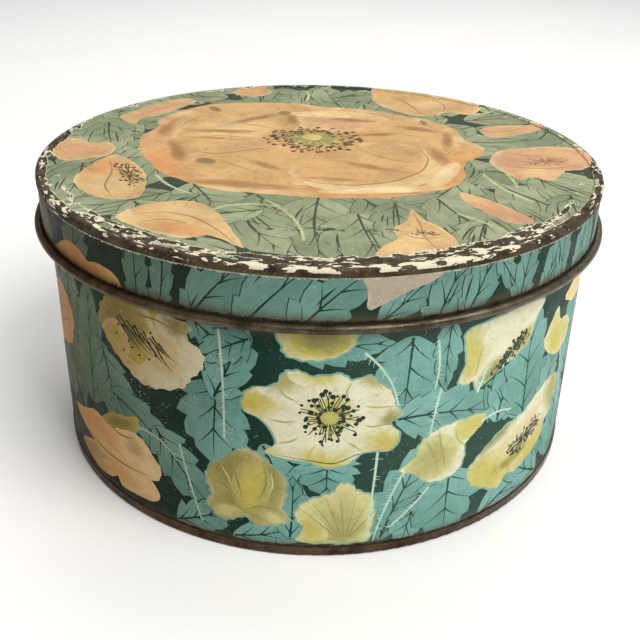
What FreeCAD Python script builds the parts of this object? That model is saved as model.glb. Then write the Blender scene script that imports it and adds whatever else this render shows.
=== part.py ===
"""Round slip-lid cookie tin, built up from printed tinplate.

The box is a rolled side wall standing in a shallow pan that forms the base. The lid is the same
construction upside down: a rolled skirt standing in the pan that forms the top panel. The wall's
mouth is curled outward into a small bead, which the lid's skirt slides over. The skirt's lower edge
is curled outward round a stiffening wire. Both rolled sheets are joined at the back.

Frame: origin at the centre of the base on the surface the tin stands on, +Z up, joints in the
sheets at the back (+Y). All lengths are in millimetres.
"""

import FreeCAD
import Part

import math
import os

from FreeCAD import Vector

# Driving dimensions
HEIGHT = 120.0          # standing surface to the crest of the closed lid
SHEET = 0.3             # tinplate thickness
WALL_R = 113.2          # outside of the side wall
SKIRT_R = 115.7         # outside of the lid's skirt
SEAT_GAP = 0.3          # free play between the lid and the mouth bead
SEAM_GAP = 0.05         # play between sheets that are folded over each other
TOUCH_GAP = 0.04        # play between a solder run or a wire and the sheet round it

# Base pan
BASE_FLANGE_H = 4.4     # how far the base's rim reaches up the outside of the wall
BASE_CORNER = 1.0       # outer radius of the fold at the foot
BASE_RING_W = 3.95      # width of the standing ring, fold included
BASE_RISE = 1.6         # how far the base panel is set up above the standing ring
BASE_BEAD_R = 83.5      # middle of the stiffening bead pressed into the base panel
BASE_BEAD_W = 4.0       # width of that bead's flat crest
BASE_BEAD_H = 0.8       # and its height

# Lid pan
LID_FLANGE_H = 3.0      # how far the panel's rim reaches down the outside of the skirt
LID_CORNER = 1.2        # outer radius of the fold at the lid's edge
LID_CREST_W = 3.55      # width of the raised rim round the panel
LID_DROP = 0.8          # how far the panel lies below that rim

# Curled edges
MOUTH_CURL_R = 1.1      # outer radius of the bead at the wall's mouth
MOUTH_CURL_END = -100   # degrees, where the curled sheet ends, from straight outward
SKIRT_CURL_R = 1.65     # outer radius of the bead at the skirt's lower edge
SKIRT_CURL_Z = 99.2     # height of that bead's centre
SKIRT_CURL_END = 138    # degrees, where its sheet ends against the skirt

# Joints in the rolled sheets, at the back
WALL_LOCK_W = 4.5       # width of the folded lock seam inside the wall
WALL_LOCK_T = 0.75      # how far it stands in from the wall
WALL_LOCK_LOW = 2.6     # its lower and upper ends
WALL_LOCK_HIGH = 116.6
WALL_CREASE_W = 0.5     # the crease that the lock seam leaves on the outside
WALL_CREASE_D = 0.15
SKIRT_LAP_W = 5.0       # width of the lapped end on the outside of the skirt
SKIRT_LAP_LOW = 101.3

# Solder
FILLET = 1.8            # leg of the solder run inside the foot
SEAM_FILLET = 0.8       # leg of the solder run along the wall's lock seam
LAP_FILLET = 0.6        # length of the thin solder run along the skirt's lap

WALL_IN = WALL_R - SHEET
SKIRT_IN = SKIRT_R - SHEET
BASE_R = WALL_R + SEAM_GAP + SHEET
LID_R = SKIRT_R + SEAM_GAP + SHEET
MOUTH_CURL_Z = HEIGHT - SHEET - SEAT_GAP - MOUTH_CURL_R
Z_AXIS = Vector(0, 0, 1)
ORIGIN = Vector(0, 0, 0)
PARTS = "parts"


def point(r, z):
    """A point of a profile, in the half plane of radius and height."""
    return Vector(r, 0, z)


def on_circle(centre, radius, degrees):
    """A point of a curl's circle, with 0 degrees straight outward and 90 up."""
    angle = math.radians(degrees)
    return centre + Vector(radius * math.cos(angle), 0, radius * math.sin(angle))


def arc(centre, radius, start, end):
    """The arc of a curl from start to end, in degrees."""
    places = [start, (start + end) / 2, end]
    return Part.Arc(*[on_circle(centre, radius, a) for a in places]).toShape()


def rounded_line(corners):
    """Edges through corners, each (r, z, bend radius); the first and last have no bend."""
    places = [point(r, z) for r, z, _ in corners]
    edges, begin = [], places[0]
    for i in range(1, len(corners) - 1):
        arriving = (places[i] - places[i - 1]).normalize()
        leaving = (places[i + 1] - places[i]).normalize()
        turn = arriving.getAngle(leaving)
        radius = corners[i][2]
        reach = radius * math.tan(turn / 2)
        bend_in = places[i] - arriving * reach
        bend_out = places[i] + leaving * reach
        inward = (leaving - arriving).normalize()
        centre = places[i] + inward * (radius / math.cos(turn / 2))
        middle = centre - inward * radius
        edges.append(Part.makeLine(begin, bend_in))
        edges.append(Part.Arc(bend_in, middle, bend_out).toShape())
        begin = bend_out
    edges.append(Part.makeLine(begin, places[-1]))
    return edges


def turned_sheet(edges, side):
    """The sheet metal ring whose one face follows edges; side is 1 or -1 for the other face."""
    profile = Part.Wire(edges).makeOffset2D(side * SHEET, 0, True, True, False)
    return turned(profile)


def turned(profile):
    """A full turn of a profile about the tin's axis."""
    shape = profile.revolve(ORIGIN, Z_AXIS, 360)
    solid = Part.Solid(shape.Shells[0]) if shape.ShapeType != "Solid" else shape
    if solid.Volume < 0:
        solid.reverse()
    return solid


def turned_polygon(corners):
    """A ring of straight-sided section, such as a solder run."""
    places = [point(r, z) for r, z in corners]
    return turned(Part.Face(Part.makePolygon(places + places[:1])))


def back_strip(inner, outer, low, high, width):
    """A strip of a cylinder's shell, centred at the back."""
    angle = math.degrees(width / outer)
    corners = [point(inner, low), point(outer, low), point(outer, high), point(inner, high)]
    face = Part.Face(Part.makePolygon(corners + corners[:1]))
    strip = face.revolve(ORIGIN, Z_AXIS, angle)
    strip.rotate(ORIGIN, Z_AXIS, 90 - angle / 2)
    return strip


def back_prism(corners, low, high):
    """An upright prism at the back, over corners given as (sideways, radius)."""
    places = [Vector(x, y, low) for x, y in corners]
    return Part.Face(Part.makePolygon(places + places[:1])).extrude(Vector(0, 0, high - low))


def base_plate():
    """The pan under the tin, its rim folded up outside the wall and its panel set up."""
    ring_in = BASE_R - BASE_RING_W
    panel_z = BASE_RISE
    crest_z = BASE_RISE + BASE_BEAD_H
    bead_out, bead_in = BASE_BEAD_R + BASE_BEAD_W / 2, BASE_BEAD_R - BASE_BEAD_W / 2
    slope = 1.5
    bend = 0.8
    return turned_sheet(rounded_line([
        (BASE_R, BASE_FLANGE_H, 0),
        (BASE_R, 0, BASE_CORNER),
        (ring_in, 0, bend),
        (ring_in - 0.6, panel_z, bend),
        (bead_out + slope, panel_z, 1.0),
        (bead_out, crest_z, 1.0),
        (bead_in, crest_z, 1.0),
        (bead_in - slope, panel_z, 1.0),
        (0, panel_z, 0),
    ]), -1)


def lid_panel():
    """The pan that tops the lid, its rim folded down outside the skirt and its panel set down."""
    crest_in = LID_R - LID_CREST_W
    return turned_sheet(rounded_line([
        (LID_R, HEIGHT - LID_FLANGE_H, 0),
        (LID_R, HEIGHT, LID_CORNER),
        (crest_in, HEIGHT, 0.8),
        (crest_in - 0.4, HEIGHT - LID_DROP, 0.5),
        (0, HEIGHT - LID_DROP, 0),
    ]), 1)


def body_wall():
    """The rolled side wall, with its mouth curled outward and the lock seam at the back."""
    centre = point(WALL_IN + MOUTH_CURL_R, MOUTH_CURL_Z)
    foot = point(WALL_IN, BASE_CORNER)
    mouth = point(WALL_IN, MOUTH_CURL_Z)
    wall = turned_sheet([
        Part.makeLine(foot, mouth),
        arc(centre, MOUTH_CURL_R, 180, MOUTH_CURL_END),
    ], -1)
    lock = back_strip(WALL_IN - WALL_LOCK_T, WALL_IN + SHEET / 2,
                      WALL_LOCK_LOW, WALL_LOCK_HIGH, WALL_LOCK_W)
    crease = back_strip(WALL_R - WALL_CREASE_D, WALL_R + 1,
                        BASE_FLANGE_H, WALL_LOCK_HIGH - 2, WALL_CREASE_W)
    return wall.fuse(lock).cut(crease).removeSplitter()


def lid_skirt():
    """The rolled ring of the lid, curled outward at its lower edge and lapped at the back."""
    centre = point(SKIRT_IN + SKIRT_CURL_R, SKIRT_CURL_Z)
    top = point(SKIRT_IN, HEIGHT - LID_CORNER - SEAM_GAP)
    bottom = point(SKIRT_IN, SKIRT_CURL_Z)
    skirt = turned_sheet([
        Part.makeLine(top, bottom),
        arc(centre, SKIRT_CURL_R, -180, SKIRT_CURL_END),
    ], 1)
    lap = back_strip(SKIRT_R - SHEET / 2, SKIRT_R + SHEET,
                     SKIRT_LAP_LOW, HEIGHT - LID_FLANGE_H - SEAM_GAP, SKIRT_LAP_W)
    return skirt.fuse(lap).removeSplitter()


def lid_rim_wire():
    """The stiffening wire inside the skirt's curled edge."""
    ring_r = SKIRT_IN + SKIRT_CURL_R
    wire_r = SKIRT_CURL_R - SHEET - TOUCH_GAP
    return Part.makeTorus(ring_r, wire_r, point(0, SKIRT_CURL_Z), Z_AXIS)


def base_solder():
    """The solder run between the wall's foot and the base, inside the tin."""
    edge = WALL_IN - TOUCH_GAP
    floor = SHEET + TOUCH_GAP
    return turned_polygon([
        (edge - 0.36, floor),
        (edge - FILLET, floor),
        (edge, floor + FILLET),
        (edge, floor + 0.16),
    ])


def lid_solder():
    """The small solder run between the skirt's top and the lid's rim, inside the lid."""
    edge = SKIRT_IN - TOUCH_GAP
    ceiling = HEIGHT - SHEET - TOUCH_GAP
    return turned_polygon([
        (edge - 0.56, ceiling),
        (edge, ceiling - 0.26),
        (edge, ceiling - 0.9),
    ])


def wall_seam_solder():
    """The solder run along one edge of the wall's lock seam."""
    side = WALL_LOCK_W / 2 + TOUCH_GAP
    edge = WALL_IN - TOUCH_GAP
    return back_prism([
        (side, edge - WALL_LOCK_T + TOUCH_GAP),
        (side, edge - 0.03),
        (side + SEAM_FILLET, edge - 0.03),
    ], WALL_LOCK_LOW, WALL_LOCK_HIGH)


def skirt_seam_solder():
    """The thin solder run along the free edge of the skirt's lap."""
    side = SKIRT_LAP_W / 2 + TOUCH_GAP
    edge = SKIRT_R + TOUCH_GAP
    return back_prism([
        (side, edge),
        (side + LAP_FILLET, edge),
        (side, edge + SHEET - TOUCH_GAP),
    ], SKIRT_LAP_LOW, HEIGHT - LID_FLANGE_H - SEAM_GAP)


NODES = {
    "body_wall": body_wall,
    "base_plate": base_plate,
    "base_solder": base_solder,
    "wall_seam_solder": wall_seam_solder,
    "lid_panel": lid_panel,
    "lid_skirt": lid_skirt,
    "lid_rim_wire": lid_rim_wire,
    "lid_solder": lid_solder,
    "skirt_seam_solder": skirt_seam_solder,
}


def main():
    os.makedirs(PARTS, exist_ok=True)
    for node, make in NODES.items():
        shape = make()
        if not shape.isValid() or len(shape.Solids) != 1:
            raise RuntimeError(f"{node} is not one valid solid")
        shape.Solids[0].exportStep(f"{PARTS}/{node}.step")
        print(f"{node:18s} {shape.Volume:10.1f} mm3")


main()
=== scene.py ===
"""Looks of the round floral cookie tin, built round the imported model.

The printed sheets are meshes of the same shape as their CAD solids, cut along every leaf, petal and
line of the print, so the print is sharp geometry with inks mixed by shader nodes. Chart lengths
are millimetres: on the side and the skirt the distance round the tin and the height, on the lid
the distance from its centre along the sheet.
"""

import math
import random

import bmesh
import bpy
import numpy as np
from mathutils import Matrix, Vector
from mathutils.geometry import delaunay_2d_cdt


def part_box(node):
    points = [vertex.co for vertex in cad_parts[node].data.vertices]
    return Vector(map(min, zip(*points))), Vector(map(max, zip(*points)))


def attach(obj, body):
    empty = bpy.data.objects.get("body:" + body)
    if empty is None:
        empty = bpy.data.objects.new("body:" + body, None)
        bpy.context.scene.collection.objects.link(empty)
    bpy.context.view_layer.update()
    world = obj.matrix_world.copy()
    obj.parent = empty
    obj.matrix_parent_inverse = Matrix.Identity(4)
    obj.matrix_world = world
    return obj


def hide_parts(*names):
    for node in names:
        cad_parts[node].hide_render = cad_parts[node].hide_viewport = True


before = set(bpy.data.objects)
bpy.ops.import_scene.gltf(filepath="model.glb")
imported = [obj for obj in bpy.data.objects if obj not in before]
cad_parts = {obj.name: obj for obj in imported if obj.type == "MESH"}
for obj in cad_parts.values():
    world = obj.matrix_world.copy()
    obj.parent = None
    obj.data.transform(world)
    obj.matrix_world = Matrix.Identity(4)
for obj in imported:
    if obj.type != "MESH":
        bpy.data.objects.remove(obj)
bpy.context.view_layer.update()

MM = 0.001
SHEET = 0.3                         # thickness of the tinplate
SEAM = 0.35                         # from the outside of a sheet to the next one inside it


def mm_box(node):
    """A node's lowest and highest corners in millimetres."""
    low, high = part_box(node)
    return low / MM, high / MM


WALL_LOW, WALL_HIGH = mm_box("body_wall")
SKIRT_LOW, SKIRT_HIGH = mm_box("lid_skirt")
LID_LOW, LID_HIGH = mm_box("lid_panel")

LID_R = LID_HIGH.x                  # outside of the lid's folded rim
SKIRT_R = LID_R - SEAM              # outside of the skirt
WALL_R = mm_box("base_plate")[1].x - SEAM
MOUTH_CURL = 1.1                    # outer radius of the bead at the mouth
SKIRT_CURL = (SKIRT_HIGH.x - SKIRT_R + SHEET) / 2
SKIRT_CURL_Z = SKIRT_LOW.z + SKIRT_CURL
MOUTH_CURL_Z = WALL_HIGH.z - MOUTH_CURL


# Colours, as seen in daylight

def rgb(red, green, blue):
    """A colour from 0 to 255 per channel, as a screen shows it, in the linear values shaders use."""
    def linear(c):
        c /= 255
        return c / 12.92 if c < 0.04045 else ((c + 0.055) / 1.055) ** 2.4
    return linear(red), linear(green), linear(blue)


GROUND = rgb(4, 48, 36)
LEAF = rgb(116, 164, 156)
LEAF_DEEP = rgb(98, 146, 136)
VEIN = rgb(6, 48, 40)
HALO = rgb(126, 164, 150)
STEM = rgb(180, 208, 188)
CREAM = rgb(220, 219, 190)
BUFF = rgb(212, 200, 154)
YELLOW = rgb(196, 186, 94)
OLIVE = rgb(150, 144, 82)
OLIVE_PALE = rgb(172, 166, 104)
PALE_YELLOW = rgb(204, 202, 140)
PEACH = rgb(242, 208, 146)
ORANGE = rgb(226, 184, 112)
WARM_PEACH = rgb(255, 232, 186)
WARM_ORANGE = rgb(248, 210, 150)
STAMEN = rgb(12, 34, 22)
SKIRT_LEAF = rgb(108, 150, 140)
SKIRT_LEAF_DEEP = rgb(92, 134, 124)
LID_GROUND = rgb(44, 60, 46)
LID_LEAF = rgb(146, 154, 122)
LID_LEAF_DEEP = rgb(122, 136, 104)
LID_VEIN = rgb(56, 70, 50)
LID_STEM = rgb(176, 180, 136)
LID_PEACH = rgb(199, 160, 106)
LID_ORANGE = rgb(202, 148, 94)
LID_PINK = rgb(200, 156, 120)
LID_PALE = rgb(211, 181, 130)
LID_TAN = rgb(198, 164, 112)
LID_SHADE = rgb(160, 120, 76)
LID_STAMEN = rgb(78, 60, 40)
LID_EYE = rgb(126, 124, 76)
LID_EYE_PALE = rgb(196, 180, 108)
BASE_COAT = rgb(210, 203, 178)
LID_GLEAM = rgb(228, 202, 156)
FADED = rgb(176, 164, 146)

SIDE_INKS = (LEAF, LEAF_DEEP)
SKIRT_INKS = (SKIRT_LEAF, SKIRT_LEAF_DEEP)
LID_INKS = (LID_LEAF, LID_LEAF_DEEP)


# Shapes of the print

def lengths(rows):
    return np.hypot(rows[:, 0], rows[:, 1])


def directions(rows):
    return np.arctan2(rows[:, 1], rows[:, 0])


def polar(step):
    """Length and heading in degrees of a step."""
    return float(np.hypot(*step)), math.degrees(math.atan2(step[1], step[0]))


def nowhere(points):
    """Coordinates of a patch whose ink is the same all over."""
    return np.zeros((len(points), 3))


class Shape:
    """One flat patch of ink: an outline, its inks from root to tip and its own coordinates."""

    def __init__(self, outline, ink, kind="flat", tip=None, place=nowhere, within=None):
        self.outline = np.asarray(outline, float)
        self.kind = kind
        self.ink = ink
        self.tip = tip or ink
        self.place = place          # gives each point the three numbers that the ink's shader reads
        self.within = within        # a lower shape that this one never reaches outside


LEAST_BEND = 0.5        # degrees, so that a straight rib is an arc too


class Rib:
    """A line that bends evenly, such as a leaf's midrib, with coordinates along and across it."""

    def __init__(self, base, heading, length, bend):
        self.start = math.radians(heading)
        self.bend = math.radians(bend if abs(bend) > LEAST_BEND else LEAST_BEND)
        self.radius = length / self.bend
        self.centre = np.array(base, float) + self.radius * self.normal(0)

    def normal(self, along):
        """The direction to the left at a share of the length."""
        angle = self.start + self.bend * along
        return np.array([-math.sin(angle), math.cos(angle)])

    def at(self, along, across=0.0):
        """The point at a share of the length, and a distance to the left in millimetres."""
        return self.centre + (across - self.radius) * self.normal(along)

    def inverse(self, points):
        """Share of the length and distance to the left of each point."""
        spoke = points - self.centre
        sign = math.copysign(1.0, self.radius)
        across = self.radius - sign * lengths(spoke)
        angle = np.arctan2(spoke[:, 0] * sign, -spoke[:, 1] * sign) - self.start
        angle = (angle + math.pi) % (2 * math.pi) - math.pi
        return angle / self.bend, across


def ribbon(rib, shares, middles, halves, ink, within=None):
    """A band of ink beside a rib: how far off its middle runs, and its half width, at each share."""
    rows = list(zip(shares, middles, halves))
    left = [rib.at(t, middle + half) for t, middle, half in rows]
    right = [rib.at(t, middle - half) for t, middle, half in rows]
    return Shape(left + right[::-1], ink, within=within)


def stroke(rib, thick, thin, ink, start=0, end=1, steps=6, within=None):
    """A line of ink along a rib, which thins towards its end."""
    halves = np.linspace(thick, thin, steps) / 2
    return ribbon(rib, np.linspace(start, end, steps), [0] * steps, halves, ink, within)


LEAF_EDGE = 0.45        # width of the dark line round a leaf
SHORTEST_VEIN = 1.5
TOOTH = ((0.06, 0.82), (0.45, 1.0), (0.95, 1.13), (1.06, 0.86))     # shares along and out
HATCH = np.array([0.1, 0.5, 0.7, 0.6, 0.4, 0.1])                    # half widths along a stroke


def leaf(base, heading, length, width, bend, teeth, inks, seed, hatch=0, vein=VEIN):
    """A lobed leaf with a dark outline, a midrib, veins towards its teeth and engraved strokes."""
    rib = Rib(base, heading, length, bend)
    draw = random.Random(seed)
    sway = [draw.uniform(0.9, 1.12) for _ in range(2 * teeth)]

    def half(t):
        return width / 2 * math.sin(math.pi * min(max(t, 0.0), 1.0) ** 0.8) ** 0.6

    def margin(side, grow):
        points = []
        for k in range(teeth):
            lobe = sway[2 * k + (side > 0)]
            for share, reach in TOOTH:
                t = (k + share) / teeth
                points.append(rib.at(t, side * (half(t) * reach * lobe + grow)))
        return points[:-1]

    def outline(grow):
        tip = rib.at(1.05 + grow / length)
        return [rib.at(-grow / length)] + margin(-1, grow) + [tip] + margin(1, grow)[::-1]

    def place(points):
        along, across = rib.inverse(points)
        return np.stack([along, across / (width / 2), np.full(len(along), seed)], axis=1)

    scale = min(1.0, width / 16)
    shapes = [Shape(outline(LEAF_EDGE), vein), Shape(outline(0.0), inks[0], "leaf", inks[1], place),
              stroke(rib, 1.1 * scale, 0.2, vein, 0.02, 0.9)]
    for k in range(teeth):
        for side in (-1, 1):
            if draw.random() < 0.2:
                continue
            root = (k + 0.2 + 0.25 * draw.random()) / teeth
            tip_at = min(root + draw.uniform(0.6, 0.95) / teeth, 0.96)
            start, end = rib.at(root), rib.at(tip_at, side * half(tip_at) * draw.uniform(0.5, 0.8))
            span, way = polar(end - start)
            if span >= SHORTEST_VEIN:
                branch = Rib(start, way - side * 9, span, side * 18)
                shapes.append(stroke(branch, 0.75 * scale, 0.12, vein, steps=4))
    for _ in range(hatch):
        start, across = draw.uniform(0.08, 0.5), draw.uniform(-0.8, 0.8)
        shares = np.linspace(start, start + draw.uniform(0.2, 0.45), len(HATCH))
        middles = [across * half(t) * (0.6 + t) for t in shares]
        shapes.append(ribbon(rib, shares, middles, HATCH * draw.uniform(0.3, 0.8), vein))
    return shapes


HALO_WIDTH = 0.9        # width of the pale ground round a flower


def closed_curve(points, ruffle, seed, steps=5):
    """A smooth closed curve through points, with a fine ruffle in millimetres."""
    here = np.array(points, float)
    before, after, later = np.roll(here, 1, 0), np.roll(here, -1, 0), np.roll(here, -2, 0)
    t = np.linspace(0, 1, steps, endpoint=False)[:, None, None]
    curve = (2 * here + (after - before) * t + (2 * before - 5 * here + 4 * after - later) * t ** 2
             + (3 * here - before - 3 * after + later) * t ** 3) / 2
    curve = curve.transpose(1, 0, 2).reshape(-1, 2)
    phase = np.arange(len(curve)) * 1.9 + seed * 9
    spoke = curve - curve.mean(axis=0)
    spoke /= lengths(spoke)[:, None]
    return curve + spoke * (ruffle * (np.sin(phase) + np.sin(phase * 2.3)) / 2)[:, None]


def bloom(points, ink, tip, seed, ruffle, eye=None, halo=None, within=None, depth=1.0):
    """A petal or a whole flower: a patch whose ink changes from its eye out to its rim."""
    ring = closed_curve(points, ruffle, seed)
    eye = ring.mean(axis=0) if eye is None else np.array(eye, float)
    spokes = ring - eye
    reach = lengths(spokes)
    angles = directions(spokes)

    def place(where):
        off = where - eye
        angle = directions(off)
        along = lengths(off) / np.interp(angle, angles, reach, period=2 * math.pi)
        return np.stack([along * depth, np.cos(angle) + 3 * seed, np.sin(angle)], axis=1)

    shapes = [Shape(ring + spokes / reach[:, None] * HALO_WIDTH, halo)] if halo else []
    return shapes + [Shape(ring, ink, "petal", tip, place, within)]


def oval(centre, wide, tall, turn=0.0, count=12):
    """Points of an oval, turned by degrees."""
    angles = np.linspace(0, 2 * math.pi, count, endpoint=False)
    c, s = math.cos(math.radians(turn)), math.sin(math.radians(turn))
    x, y = np.cos(angles) * wide / 2, np.sin(angles) * tall / 2
    return np.stack([centre[0] + c * x - s * y, centre[1] + s * x + c * y], axis=1)


# Charts, which turn the places of the print into millimetres

def on_wall(degrees, height):
    return math.radians(degrees) * WALL_R, height


def on_skirt(degrees, height):
    return math.radians(degrees) * SKIRT_R, height


def plain(x, y):
    return x, y


class Flower:
    """A bloom with marks that stay inside it, all placed on one chart."""

    def __init__(self, chart, ink, tip, seed, ruffle, eye, halo, *outline):
        self.chart = chart
        middle = None if eye is None else chart(*eye)
        self.shapes = bloom([chart(*p) for p in outline], ink, tip, seed, ruffle, middle, halo)
        self.base = self.shapes[-1]

    def tints(self, under, *rows, ink=None):
        """Soft-edged ovals (x, y, width, height, turn) with the one ink, or each with its own."""
        for x, y, wide, tall, turn, *own in rows:
            points = oval(self.chart(x, y), wide, tall, turn)
            self.shapes += bloom(points, own[0] if own else ink, under, 0.37 * len(self.shapes), 0.0,
                                 within=self.base, depth=0.84)

    def petal(self, ink, tip, seed, *points):
        points = [self.chart(*p) for p in points]
        self.shapes += bloom(points, ink, tip, seed, 0.7, within=self.base)

    def crease(self, place, heading, length, bend, ink):
        """A straight or bent line that thins out."""
        rib = Rib(self.chart(*place), heading, length, bend)
        self.shapes.append(stroke(rib, 0.7, 0.12, ink, within=self.base))

    def folds(self, ink, thick, *lines):
        """Smooth lines through points, thickest in the middle, for the edges of petals."""
        for points in lines:
            here = np.array([self.chart(*p) for p in points], float)
            spots = np.linspace(0, len(here) - 1, 4 * len(here))
            line = np.stack([np.interp(spots, np.arange(len(here)), here[:, k]) for k in (0, 1)], axis=1)
            for _ in range(2):
                line[1:-1] = (line[:-2] + 2 * line[1:-1] + line[2:]) / 4
            along = np.gradient(line, axis=0)
            across = np.stack([-along[:, 1], along[:, 0]], axis=1) / lengths(along)[:, None]
            half = thick / 2 * np.sin(np.linspace(0.15, math.pi - 0.15, len(line)))[:, None]
            ring = np.vstack([line + across * half, (line - across * half)[::-1]])
            self.shapes.append(Shape(ring, ink, within=self.base))


def dot(centre, radius, ink, sides):
    """A small round spot of ink."""
    return Shape(oval(centre, 2 * radius, 2 * radius, 0, sides), ink)


def stamens(centre, inner, outer, count, ink, seed, flat=1.0, turn=0.0, size=0.6):
    """A ring of fine filaments, each ending in a spot, in a flattened circle."""
    draw = random.Random(seed)
    c, s = math.cos(math.radians(turn)), math.sin(math.radians(turn))
    warp = np.array([[c, -s], [s, c]]) @ np.diag([1.0, flat])
    shapes = []
    for i in range(count):
        angle = math.radians(360 * ((i + draw.uniform(-0.35, 0.35)) / count))
        reach = outer * draw.uniform(0.5, 1.0)
        way = warp @ np.array([math.cos(angle), math.sin(angle)])
        start, end = way * inner + centre, way * reach + centre
        span, heading = polar(end - start)
        line = Rib(start, heading, max(span, 0.5), draw.uniform(-25, 25))
        shapes.append(stroke(line, 0.3, 0.42, ink, steps=3))
        shapes.append(dot(end, size * draw.uniform(0.7, 1.5), ink, 7))
    return shapes


def stem(base, heading, length, bend, ink, hairs, thick, seed):
    """A thin curving stem, with short hairs along it."""
    draw = random.Random(seed)
    rib = Rib(base, heading, length, bend)
    shapes = [stroke(rib, thick, thick * 0.6, ink, steps=14)]
    for i in range(hairs):
        t = (i + draw.random()) / hairs
        side = draw.choice((-1, 1))
        angle = heading + bend * t + side * draw.uniform(35, 70)
        hair = Rib(rib.at(t), angle, draw.uniform(1.6, 3.0), side * 20)
        shapes.append(stroke(hair, 0.32, 0.1, ink, steps=3))
    return shapes


# The print on the side, with places as (degrees from the front, height)

SIDE_LEAVES = [
    # degrees, height, heading, length, width, bend
    (-74, 12, 84, 56, 24, 10), (-68, 92, -82, 52, 22, -12), (-57, 98, -88, 60, 19, 4),
    (-50, 40, 86, 52, 20, -4), (-62, 30, 100, 30, 16, 8), (-44, 70, -76, 32, 20, -12),
    (-43, 52, -12, 36, 15, -36), (-31, 46, -56, 36, 17, 10), (-27, 6, 20, 26, 14, 20),
    (-17, 74, -98, 34, 23, 8), (-18, 66, 64, 32, 15, 10), (-22, 97, -40, 22, 12, 20),
    (-11, 92, 205, 20, 12, 10), (-15, 6, 8, 34, 12, 26), (-9, 50, -70, 34, 13, 12),
    (-3, 88, 14, 30, 13, -16), (-4, 8, 84, 26, 12, 8), (2.8, 47, -93, 17, 21, 4),
    (13, 6, 72, 48, 15, -10), (16.8, 93, -92, 33, 23, -3), (14.5, 60, 4, 42, 18, -26),
    (20.5, 24, -110, 22, 13, 10), (26.8, 33, -92, 31, 26, 2), (24, 97, -96, 26, 9, 10),
    (33, 66, -36, 30, 14, -16), (35, 4, 24, 44, 15, -10), (37, 47, 84, 26, 15, -12),
    (45, 44, 94, 46, 25, -4), (52, 42, 66, 30, 16, 12), (55, 6, 150, 34, 15, -10),
    (62, 6, 88, 40, 22, 8), (67, 42, 96, 48, 22, 6), (72, 92, -96, 44, 20, -8),
]


def left_flowers():
    """The peach buds low on the left and the tilted flower above them."""
    far = Flower(on_wall, WARM_ORANGE, WARM_PEACH, 0.3, 0.3, (-60, 70), None, (-56, 72), (-58, 79),
        (-62, 83), (-67, 80), (-74, 73), (-80, 66), (-86, 56), (-84, 42), (-76, 44), (-70, 50),
        (-64, 54), (-59, 58), (-57, 65))
    far.tints(WARM_ORANGE, (-78, 58, 26, 20, 30, WARM_PEACH))
    far.tints(WARM_PEACH, (-66, 72, 20, 10, -30, BUFF))
    far.folds(OLIVE, 0.9, ((-61, 74), (-67, 66), (-74, 58), (-82, 54)))
    far.folds(OLIVE, 0.8, ((-60, 68), (-68, 60), (-75, 50)))
    far.folds(WARM_ORANGE, 0.9, ((-66, 79), (-72, 71), (-79, 63)))
    cup = Flower(on_wall, OLIVE, YELLOW, 1.2, 0.2, None, None, (-48, 33), (-44, 41), (-39, 43.5),
        (-35.5, 46), (-36, 39), (-41, 34))
    low = Flower(on_wall, BUFF, WARM_PEACH, 1.9, 0.3, (-55, 13), None, (-59, 12), (-55, 17), (-50, 20),
        (-44, 20), (-38, 21), (-33, 19), (-31, 13), (-33, 9), (-38, 8), (-42, 7.5), (-43.5, 11),
        (-46, 8), (-52, 7))
    low.tints(WARM_PEACH, (-42, 13, 30, 8, 4, WARM_ORANGE))
    high = Flower(on_wall, WARM_PEACH, WARM_PEACH, 2.4, 0.3, (-58, 26), None, (-62, 27), (-56, 31),
        (-50, 36), (-45, 34), (-41, 36), (-37, 38), (-34, 36), (-32, 31), (-30.3, 27), (-31, 21),
        (-34, 19), (-40, 18), (-47, 17), (-53, 20), (-58, 23))
    high.tints(WARM_PEACH, (-50, 30, 30, 14, -4, WARM_ORANGE), (-37, 31, 14, 12, 0, BUFF))
    high.folds(OLIVE, 0.9, ((-55, 22), (-48, 19.5), (-40, 19.5), (-33, 21)))
    high.folds(WARM_ORANGE, 0.9, ((-58, 28), (-50, 27), (-42, 24), (-37, 20)))
    high.folds(OLIVE, 0.8, ((-46, 35), (-41, 33), (-37, 35)))
    tilted = Flower(on_wall, BUFF, CREAM, 2.2, 0.6, (-33, 80), None, (-44, 84), (-42.5, 91), (-39, 95),
        (-33, 96), (-26, 95), (-21.5, 92.5), (-22.5, 88), (-19.5, 83), (-19.8, 77), (-22, 72),
        (-24, 67), (-29, 63.5), (-33.5, 63), (-37, 67), (-40.5, 72), (-43, 78))
    tilted.tints(CREAM, (-34, 94, 56, 16, 0), (-38, 67, 46, 16, -32), (-39, 81, 38, 46, -20),
        ink=YELLOW)
    tilted.tints(YELLOW, (-38, 84, 32, 30, -34, OLIVE))
    tilted.tints(BUFF, (-40, 75, 16, 22, -20, YELLOW), (-28, 80, 14, 18, 0, BUFF))
    tilted.tints(CREAM, (-24.5, 91, 18, 12, 0, OLIVE))
    tilted.folds(OLIVE, 0.9, ((-41, 93), (-35, 91), (-29, 92), (-23, 89)))
    tilted.folds(BUFF, 0.9, ((-27, 90), (-25, 84), (-21, 82)))
    tilted.folds(BUFF, 1.1, ((-42, 80), (-37, 72), (-31, 67)))
    shapes = far.shapes + cup.shapes + low.shapes + high.shapes + tilted.shapes
    for i in range(16):
        root = on_wall(-38.5 + 0.66 * i, 87 - 0.3 * i + 1.8 * math.sin(i * 2.1))
        line = Rib(root, -56 + 9 * math.sin(i * 1.7), 10 + 3 * math.sin(i * 2.9), 24)
        shapes.append(stroke(line, 0.9, 0.2, STAMEN))
    spots = [on_wall(-39 + 0.8 * i, 80 + 6 * math.sin(i * 2.4)) for i in range(13)]
    return shapes + [dot(spot, 0.6, STAMEN, 6) for spot in spots]


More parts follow.
